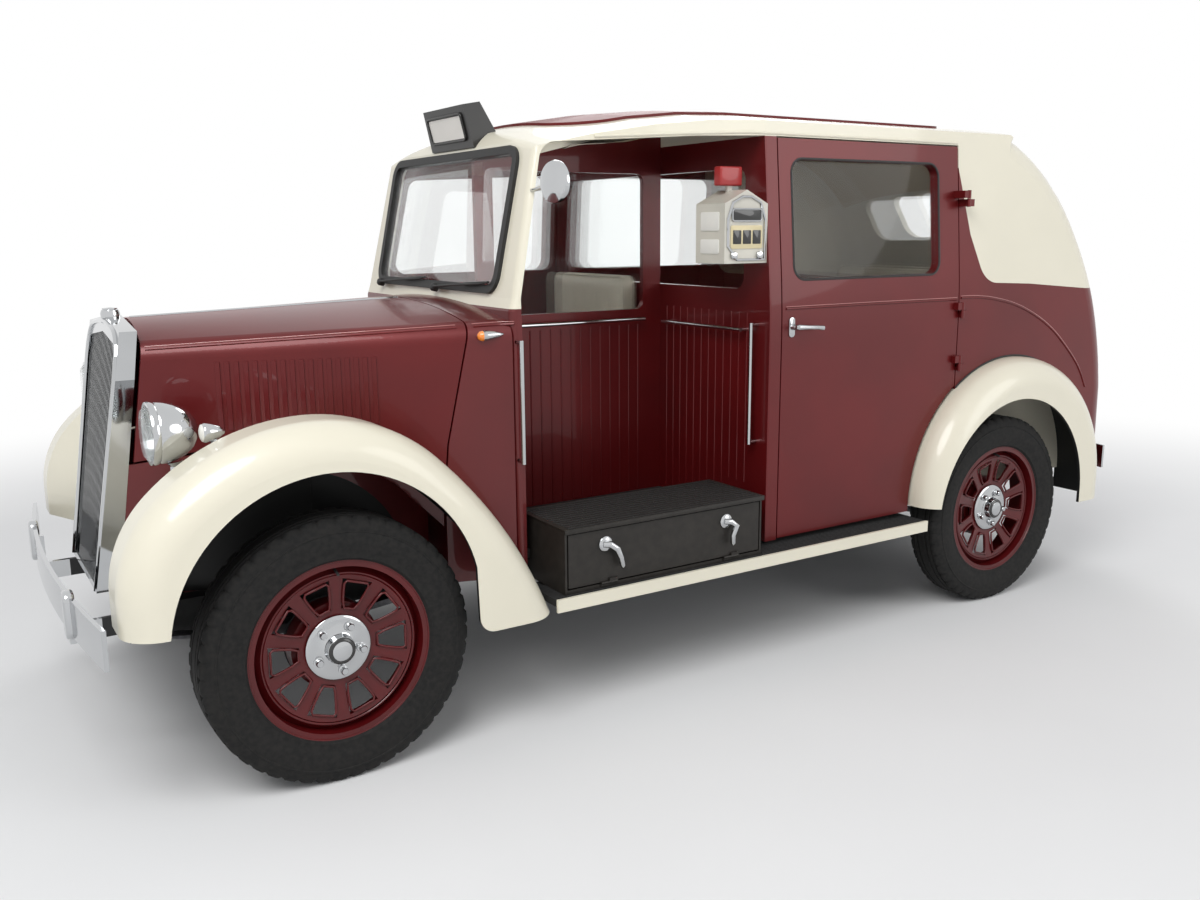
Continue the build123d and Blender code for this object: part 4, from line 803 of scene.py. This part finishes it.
def handle(tree, x, way, side):
    """A pull-out door handle: rounded plate, neck and tapering lever."""
    y = cast(tree, (x, side * 1200, HANDLE_Z), (0, -side, 0))[1]

    def beside(along, out, up):
        return (x + way * along, y + side * out, HANDLE_Z + up)
    plate = slab(rounded(26, 68, 12, (x, HANDLE_Z)), lambda a, b, out: (a, y + side * (out - 1), b), 6, 2)
    neck = tube([beside(0, 0, 0), beside(0, 26, 0), beside(6, 34, 0)], [10, 8, 9], 14)
    lever = tube([beside(*place) for *place, _ in LEVER], [radius for *_, radius in LEVER], 14)
    return combined(plate, neck, lever)


def add_handles():
    """Door handles and the locker's bent levers."""
    for node, x, way, side in HANDLES:
        add_piece(f"handle_{node}", handle(surface(node), x, way, side), chrome, node)
    levers = []
    for x, lean in LOCKER_LEVERS:
        levers.append(lathe(LOCKER_BOSS, (x, 780, 538), LEFT, 28))
        path = [(x + 14, 791, 540), (x - 8, 797, 538), (x - 30, 801, 522), (x + lean * 0.85, 802, 492),
                (x + lean, 799, 466), (x + lean * 1.04, 797, 458)]
        levers.append(tube(path, [9, 11, 11, 9, 9.5, 5], 14))
    add_piece("locker_handles", combined(*levers), chrome, "locker_flap")


def add_bright_work():
    """Over-riders, the radiator's cap and rim, and the wipers."""
    front = slab(rounded(60, 132, 26, (420, 494)), across_cab(FRONT_BLADE), 28, 8, 3)
    rear = slab(rounded(54, 112, 24, (430, 478)), across_cab(REAR_BLADE, -1), 26, 8, 3)
    add_piece("bumper_over_riders", both_sides(combined(front, rear)), chrome)
    add_piece("radiator_cap", lathe(RADIATOR_CAP, RADIATOR_TOP, UP, 36), chrome)

    shell = surface("radiator_shell")
    arch = [(-y, z) for y, z in SHELL_EDGE] + [(0, 1229)] + list(reversed(SHELL_EDGE))
    rim = [cast(shell, (2200, y, z), BACK) for y, z in smooth_line(arch, 3)]
    rim = [place for place in rim if place and place[0] > 1860]
    add_piece("radiator_rim", tube(rim, 7.5, 10), chrome)

    wipers = []
    for spindle, tip in WIPERS:
        wipers.append(lathe(WIPER_SPINDLE, (868, spindle, 1292), (0.96, 0, 0.22), 18))
        arm = [(872, spindle, 1294), (874, (spindle + tip) / 2, 1306), (859, tip, 1316)]
        wipers.append(tube(arm, [4.5, 3.5, 3], 8))
        wipers.append(tube([(860, tip - 150, 1311), (859, tip + 30, 1321)], 4, 8))
    add_piece("windscreen_wipers", combined(*wipers), black_rubber)


def add_plates():
    """The blank number plate at the back, on its board with a lamp."""
    board = slab(rounded(300, 110, 8, (0, PLATE_Z)), across_cab(PLATE_FACE, -1), 10, 2)
    lamp = slab(rounded(70, 30, 10, (0, PLATE_Z + 80)), across_cab(PLATE_FACE + 2, -1), 28, 6)
    add_piece("rear_plate_back", combined(board, lamp), black)
    blank = slab(rounded(284, 94, 6, (0, PLATE_Z)), across_cab(PLATE_FACE - 10, -1), 1.5, 0.5)
    add_piece("rear_plate_blank", blank, sign_white)


add_handles()
add_bright_work()
add_plates()


# Running boards, locker and platform

def strip(low_x, high_x, y, half_width, base, top, bevel=1):
    """A raised strip that runs along the cab."""
    return block((low_x, y - half_width, base), (high_x, y + half_width, top), bevel, 1)


def add_floor_ribs():
    """Ribs on the boards, the platform and the locker's lid, the lid itself and the boards' inner infill."""
    ribs = []
    for y in range(668, 800, 12):
        for side in (1, -1):
            under_locker = side > 0 and y < LOCKER_OUTER - 4
            front = 20 if under_locker else BOARD_FRONT
            ribs.append(strip(BOARD_BACK, front, side * y, 3, BOARD_TOP - 0.5, BOARD_TOP + 3))
    add_piece("board_ribs", combined(*ribs), mat_rubber)
    infill = block((380, 598, BOARD_TOP - 18), (BOARD_FRONT, 658, BOARD_TOP - 6), 2, 2)
    add_piece("board_infill", both_sides(infill), mat_rubber)
    planks = [strip(30, 770, y, 8, PLATFORM_TOP - 0.5, PLATFORM_TOP + 3, 1.5) for y in range(130, 490, 30)]
    add_piece("platform_strips", combined(*planks), locker_black)
    lid = combined(*(
        block((LOCKER_BACK, inner, LOCKER_TOP - down), (LOCKER_FRONT, LOCKER_OUTER, LOCKER_TOP + up), 1.6)
        for inner, down, up in ((LOCKER_INNER, 0.5, 4), (LOCKER_OUTER - 6.5, 12, 1))
    ))
    add_piece("locker_lid", lid, locker_black)
    strips = [strip(40, 784, y, 4, LOCKER_TOP + 3.5, LOCKER_TOP + 6) for y in range(515, 780, 22)]
    add_piece("locker_lid_ribs", combined(*strips), mat_rubber)


add_floor_ribs()


# Taximeter, roof sign and mirror

METER_FACE_Y, METER_FRONT_X = 695, 136
METER_MIDDLE = 46
METER_OUTLINE = ((-30, 1378), (124, 1378), (124, 1550), (METER_MIDDLE, 1587), (-30, 1550))
METER_KNOB = ((13, 0), (13, 8), (10, 12), (0, 13))
SIGN_MIDDLE = (770.6, 0, 1808.5)
SIGN_LEAN, SIGN_UP = (133, 0, -34), (34, 0, 133)
MIRROR_HEAD = (811, 780, 1607)
MIRROR_SHELL = ((55, -7), (59, -6), (60, 0), (57, 8), (40, 15), (18, 19), (0, 20))
MIRROR_ARM = ((768, 570, 1592), (776, 640, 1596), (790, 720, 1603), (809, 776, 1607))


def on_meter(across, up, out):
    """A place on the meter's face."""
    return (across, METER_FACE_Y + out, up)


def add_meter():
    """Bezels, knobs, a blank face and blank side plates on the meter, and its small blank sign."""
    outline = smooth_line([*METER_OUTLINE, METER_OUTLINE[0]], 1)[:-1]
    bezel = tube([on_meter(a, b, 2) for a, b in outline], 4.5, 8, closed=True)
    upper = (METER_MIDDLE, 1520)
    ring = tube([on_meter(a, b, 3) for a, b in rounded(122, 38, 8, upper)], 3, 8, closed=True)
    knobs = [lathe(METER_KNOB, on_meter(METER_MIDDLE + x, 1392, 0), LEFT, 20) for x in (-54, 54)]
    add_piece("meter_bezels", combined(bezel, ring, *knobs), chrome)
    panel = slab(rounded(132, 74, 6, (METER_MIDDLE, 1450)), on_meter, 3, 1)
    add_piece("meter_face", panel, meter_face)
    windows = [slab(rounded(118, 34, 6, upper), on_meter, 3, 1)]
    for x in (-41, 0, 41):
        outline = rounded(34, 44, 3, (METER_MIDDLE + x, 1450))
        windows.append(slab(outline, lambda a, b, out: on_meter(a, b, out + 2.6), 1.5, 0.4))
    add_piece("meter_windows", combined(*windows), gauge_black)
    sides = [rounded(96, 60, 6, (620, 1500)), rounded(96, 46, 6, (620, 1420))]
    plates = [slab(side, across_cab(METER_FRONT_X), 2.5, 1) for side in sides]
    add_piece("meter_side_plates", combined(*plates), sign_white)
    add_piece("meter_flag_sign", block((7, 587, 1614), (99, 625, 1676), 6, 3), sign_red)


def add_sign_and_mirror():
    """A raised frame round the sign's blank panel, and the mirror's shell and arm."""
    lean, up = Vector(SIGN_LEAN).normalized(), Vector(SIGN_UP).normalized()
    middle = Vector(SIGN_MIDDLE) + lean * 3
    outline = [middle + Vector(LEFT) * a + up * b for a, b in rounded(258, 84, 12)]
    add_piece("sign_frame", tube(outline, 4.5, 10, closed=True), black)
    add_piece("mirror_shell", lathe(MIRROR_SHELL, MIRROR_HEAD, (1, 0.15, 0), 48), chrome)
    add_piece("mirror_arm", tube(MIRROR_ARM, 5.8, 12), chrome)


add_meter()
add_sign_and_mirror()


# Driver's controls

WHEEL_BOSS = ((9.3, -18), (30, -18), (32, -6), (32, 8), (27, 16), (18, 21), (0, 23))
HORN_BUTTON = ((15, 21), (14, 25), (8, 28), (0, 29))
FACIA_BACK = 774
DIAL_Z = 1165
DIALS = ((-420, 34), (-330, 48), (-230, 48), (-140, 34))
PEDALS = (-425, -255, -190)
PEDAL_X, PEDAL_Z, PEDAL_LEAN = 930, 610, 0.4
GEAR_STICK = ((700, -60, 489), (698, -60, 560), (668, -70, 700), (640, -80, 800))
GEAR_GAITER = ((46, -1), (46, 4), (34, 12), (36, 18), (24, 26), (26, 32), (13, 44), (8, 48))
GEAR_KNOB = ((6, -14), (13, -12), (20, 0), (18, 12), (10, 20), (0, 22))
HAND_BRAKE = ((560, -30, 489), (530, -30, 600), (470, -30, 720))


def add_hand_wheel():
    """The steering wheel's rim, spokes, boss and horn button."""
    axis, first, second = directions(HAND_WAY)
    hub = Vector(HAND_HUB)
    turns = [2 * math.pi * step / 72 for step in range(72)]
    ring = [hub + (first * math.cos(turn) + second * math.sin(turn)) * HAND_RADIUS for turn in turns]
    rim = tube(ring, 10.6, 14, closed=True)
    spokes = []
    for turn in (0, math.pi / 2, math.pi, 1.5 * math.pi):
        way = Vector(LEFT) * math.cos(turn) + Vector(HAND_WAY).cross(Vector(LEFT)) * math.sin(turn)
        line = [hub + way * 18, hub + way * 60 - axis * 3, hub + way * (HAND_RADIUS - 4)]
        spokes.append(tube(line, [9, 7, 5.5], 10))
    boss = lathe(WHEEL_BOSS, HAND_HUB, HAND_WAY, 36)
    add_piece("hand_wheel", combined(rim, *spokes, boss), dark_plastic, "steering_wheel",
              stands_for=("steering_wheel",))
    add_piece("horn_button", lathe(HORN_BUTTON, HAND_HUB, HAND_WAY, 28), chrome, "steering_wheel")


def add_facia():
    """The wooden facia with its blank dials."""
    add_piece("facia", block((FACIA_BACK, -530, 1030), (FACIA_BACK + 18, 62, 1235), 5, 3), walnut)
    bezels, faces = [], []
    for y, size in DIALS:
        spot = (FACIA_BACK, y, DIAL_Z)
        bezels.append(lathe(((size - 4, 4), (size, 6), (size + 3, 2), (size + 3, -2)), spot, BACK, 36))
        faces.append(lathe(((size - 2, 1), (size - 2, 2.5), (0, 2.5)), spot, BACK, 36))
    add_piece("dial_bezels", combined(*bezels), chrome)
    add_piece("dial_faces", combined(*faces), gauge_black)


def on_pedal(across, up, out):
    """A place on a pedal's leaning pad."""
    return (PEDAL_X + out + (up - PEDAL_Z) * PEDAL_LEAN, across, up)


def add_pedals_and_levers():
    """Three pedals, the gear lever in its gaiter and the hand brake."""
    pads = [slab(rounded(52, 70, 8, (y, PEDAL_Z)), on_pedal, 9, 2) for y in PEDALS]
    arms = [tube([(938, y, 605), (985, y, 590), (1031, y, 640)], 6, 10) for y in PEDALS]
    add_piece("pedal_pads", combined(*pads), mat_rubber)
    add_piece("pedal_arms", combined(*arms), steel)
    levers = combined(tube(GEAR_STICK, [9, 7, 7, 6], 12), tube(HAND_BRAKE, [8, 7, 9], 12))
    add_piece("gear_lever", levers, steel)
    gaiter = lathe(GEAR_GAITER, (700, -60, PLATFORM_TOP), UP, 32)
    knob = lathe(GEAR_KNOB, (640, -80, 806), (-0.25, 0, 1), 28)
    add_piece("gear_knob_and_gaiter", combined(gaiter, knob), black_rubber)


add_hand_wheel()
add_facia()
add_pedals_and_levers()


# Soft pieces: crowned cushions with piping and sewn channels, and the headlining

FACE_STEPS, DEPTH_STEPS = 96, 56
CORNER_POWER, EDGE_POWER = 9, 0.22
CHANNEL_DEPTH, CHANNEL_WIDTH, CHANNEL_END = 6, 17, 0.86
PIPING_LEVEL, SEAM_RADIUS, SEAM_PITCH = 0.62, 4.0, 30


class Cushion:
    """A box cushion's middle, its directions across, along and out of its face, and its size."""

    def __init__(self, middle, along, out, size, channels, crown):
        self.middle, self.along, self.out = Vector(middle), Vector(along), Vector(out)
        self.half_across, self.half_along, self.half_out = (value / 2 for value in size)
        self.channels, self.crown = channels, crown

    def flat(self, a, b, hold=1.0):
        """A place over the cushion, with a and b from -1 to 1; its sides pull in between the corners."""
        across = a * self.half_across * (1 - 0.022 * (1 - b * b)) * hold
        along = b * self.half_along * (1 - 0.03 * (1 - a * a)) * hold
        return Vector(LEFT) * across + self.along * along

    def height(self, a, b, face):
        """How far the skin stands from the middle: crowned, channelled and a little uneven in front."""
        edge = 1.0
        for share in (a, b):
            edge *= max(0.0, 1 - abs(share) ** CORNER_POWER) ** EDGE_POWER
        high = self.half_out * edge
        if face < 0:
            return -high
        high += self.crown * (1 - a * a) * (1 - b * b) * edge
        if abs(a) < 0.93 and abs(b) < CHANNEL_END:
            cell = (a * self.channels / 2) % 1.0
            off = min(cell, 1 - cell) * 4 / self.channels * self.half_across
            fade = min(1.0, (CHANNEL_END - abs(b)) * 8)
            high -= CHANNEL_DEPTH * math.exp(-(off / CHANNEL_WIDTH) ** 2) * fade
        return high + 1.8 * field.noise(Vector((a * 5, b * 4, self.half_across * 0.02)))

    def skin(self):
        """Both faces of the cushion, with the places closer together towards its edges."""
        points, faces = [], []
        columns, rows = ([math.sin(math.pi * (step / steps - 0.5)) for step in range(steps + 1)]
                         for steps in (FACE_STEPS, DEPTH_STEPS))
        for face in (1, -1):
            start = len(points)
            for b in rows:
                for a in columns:
                    points.append(tuple(self.middle + self.flat(a, b) + self.out * self.height(a, b, face)))
            faces.extend(grid_faces(start, DEPTH_STEPS, FACE_STEPS))
        return points, faces

    def piping(self):
        """The piped seams round both faces."""
        seams = []
        for level in (PIPING_LEVEL, -PIPING_LEVEL):
            rise = self.out * (level * self.half_out)
            corners = [self.middle + self.flat(a, b, 0.995) + rise for a, b in rounded(2, 2, 0.14, (0, 0), 8)]
            dense = []
            for index, spot in enumerate(corners):
                after = corners[(index + 1) % len(corners)]
                count = max(1, int((after - spot).length / SEAM_PITCH))
                dense.extend(spot.lerp(after, step / count) for step in range(count))
            seams.append(tube(dense, SEAM_RADIUS, 8, closed=True))
        return combined(*seams)


def grid_faces(start, rows, columns):
    """Quads of a grid of points that begins at start."""
    faces = []
    for row in range(rows):
        for column in range(columns):
            low = start + row * (columns + 1) + column
            faces.append((low, low + 1, low + columns + 2, low + columns + 1))
    return faces


def add_seats():
    """The driver's seat and the rear bench."""
    lean_up, lean_out = Vector((-80, 0, 610)).normalized(), Vector((610, 0, 80)).normalized()
    driver, rear = "driver_seat", "rear_seat"
    rows = (
        ("driver_cushion", driver, Cushion((252, -310, 697), AHEAD, UP, (522, 448, 138), 6, 12)),
        ("driver_backrest", driver, Cushion((4, -310, 1052), UP, AHEAD, (522, 496, 80), 6, 8)),
        ("rear_cushion", rear, Cushion((-1232, 0, 742), AHEAD, UP, (1150, 486, 96), 10, 12)),
        ("rear_backrest", rear, Cushion((-1612, 0, 1000), lean_up, lean_out, (1130, 590, 96), 10, 14)),
    )
    for name, node, cushion in rows:
        piece = add_piece(name, cushion.skin(), leather, sharp=80, stands_for=(node,))
        add_piece(f"{name}_piping", cushion.piping(), piping)


def add_headlining():
    """Cloth headlining with shallow ribs, found from the roof's own inside."""
    tree = surface("roof_shell", "roof_panel", "rear_body")
    across, along = range(-560, 561, 40), range(-1640, 621, 28)
    points = []
    for x in along:
        for y in across:
            hit = cast(tree, (x, y, 1500), UP)
            high = hit[2] - 7 if hit and hit[2] < 1890 else 1830
            points.append((x, y, high - 3 * abs(math.sin(x / 120))))
    cloth = points, grid_faces(0, len(along) - 1, len(across) - 1)
    add_piece("headlining", cloth, lining, sharp=60)


add_seats()
add_headlining()


# Boarding beside and behind the luggage platform

BEAD_PITCH, BEAD_FOOT, BEAD_HALF = 42, 496, 2.6


def add_panel_beading():
    """Upright beads on the boarding, standing on the platform or on the locker's lid."""
    strips = []
    wall = surface("side_partition")
    for x in range(60, 700, BEAD_PITCH):
        spot = cast(wall, (x, 400, 900), RIGHT)
        if spot and spot[1] < 130:
            strips.append(tube([(x, spot[1], BEAD_FOOT), (x, spot[1], 1128)], BEAD_HALF, 6))
    behind = surface("division")
    for y in range(140, 640, BEAD_PITCH):
        spot = cast(behind, (300, y, 900), BACK)
        if spot and spot[0] < 0:
            foot = LOCKER_TOP + 6 if y > 490 else BEAD_FOOT
            strips.append(tube([(spot[0], y, foot), (spot[0], y, 1196)], BEAD_HALF, 6))
    add_piece("boarding_beads", combined(*strips), maroon)


add_panel_beading()


# Stage, in metres

FLOOR_HALF = 40
FLOOR_GREY, FLOOR_PALE = 0.80, 0.84
WHITE_NEAR, WHITE_FAR = 2.6, 6.0
WHITE = (1, 1, 1, 1)
WORLD_TINT, WORLD_SOFT = (0.95, 0.97, 1.0, 1), 0.44
LAMP_WIDTH = 4.0
# Each lamp's name, place, aim and power
STAGE_LAMPS = (
    ("key", (4.0, 3.5, 5.5), (0.2, 0.3, 0.8), 295),
    ("fill", (-3.5, 5.5, 3.0), (-0.3, 0.3, 0.8), 100),
    ("rear", (-4.0, -4.5, 4.5), (0, 0, 0.9), 115),
)


def seen_rays(tree):
    """1 for rays from the camera and those mirrored or passed on by metal and glass."""
    path = add_node(tree, "LightPath").outputs
    mirrored = maths(tree, "MAXIMUM", path["Is Camera Ray"], path["Is Glossy Ray"])
    return maths(tree, "MAXIMUM", mirrored, path["Is Transmission Ray"])


def floor_material():
    """Pale floor that goes white far away for the rays that are seen."""
    mat, tree, shader = new_material("ground_pale")
    feed(shader, {
        "Base Color": colour_ramp(tree, noise(tree, 0.6), grey(FLOOR_GREY), grey(FLOOR_PALE)),
        "Roughness": 0.9,
    })
    distance = vector_maths(tree, "LENGTH", here(tree), result="Value")
    span = {"Value": distance, "From Min": WHITE_NEAR, "From Max": WHITE_FAR}
    far = add_node(tree, "MapRange", span, interpolation_type="SMOOTHSTEP").outputs["Result"]
    share = maths(tree, "MULTIPLY", far, seen_rays(tree))
    white = add_node(tree, "Emission", {"Color": WHITE, "Strength": 1.0}).outputs["Emission"]
    mix = add_node(tree, "MixShader", {"Fac": share, 1: shader.outputs["BSDF"], 2: white})
    out = next(node for node in tree.nodes if node.type == "OUTPUT_MATERIAL")
    feed(out, {"Surface": mix.outputs["Shader"]})
    return mat


def add_floor():
    """A wide level floor."""
    mesh = bpy.data.meshes.new("ground")
    corners = [(x * FLOOR_HALF, y * FLOOR_HALF, 0) for x, y in ((-1, -1), (1, -1), (1, 1), (-1, 1))]
    mesh.from_pydata(corners, [], [(0, 1, 2, 3)])
    mesh.materials.append(floor_material())
    ground = bpy.data.objects.new("ground", mesh)
    bpy.context.collection.objects.link(ground)


def add_surroundings():
    """White for the rays that are seen, soft light for the rest."""
    world = bpy.context.scene.world or bpy.data.worlds.new("world")
    bpy.context.scene.world = world
    world.use_nodes = True
    tree = world.node_tree
    tree.nodes.clear()
    soft = add_node(tree, "Background", {"Color": WORLD_TINT, "Strength": WORLD_SOFT}).outputs["Background"]
    white = add_node(tree, "Background", {"Color": WHITE, "Strength": 1.0}).outputs["Background"]
    mix = add_node(tree, "MixShader", {"Fac": seen_rays(tree), 1: soft, 2: white})
    add_node(tree, "OutputWorld", {"Surface": mix.outputs["Shader"]})


def add_lamps():
    """Soft round studio lamps."""
    for name, place, aim, power in STAGE_LAMPS:
        lamp = bpy.data.lights.new(name, "AREA")
        lamp.shape = "DISK"
        lamp.size = LAMP_WIDTH
        lamp.energy = power
        holder = bpy.data.objects.new(name, lamp)
        holder.location = place
        holder.rotation_euler = (Vector(aim) - Vector(place)).to_track_quat("-Z", "Y").to_euler()
        bpy.context.collection.objects.link(holder)


def add_camera():
    """The photograph's own viewpoint."""
    cam = bpy.data.cameras.new("photo_camera")
    cam.sensor_width = SENSOR
    cam.lens = SENSOR * FOCAL_PIXELS / PHOTO_WIDTH
    cam.clip_end = 200
    holder = bpy.data.objects.new("photo_camera", cam)
    right, up = Vector(CAMERA_RIGHT), Vector(CAMERA_UP)
    turn = Matrix((right, up, right.cross(up))).transposed().to_4x4()
    holder.matrix_world = Matrix.Translation(CAMERA_PLACE) @ turn
    bpy.context.collection.objects.link(holder)
    bpy.context.scene.camera = holder


add_floor()
add_surroundings()
add_lamps()
add_camera()
bpy.context.scene.view_settings.view_transform = "Standard"
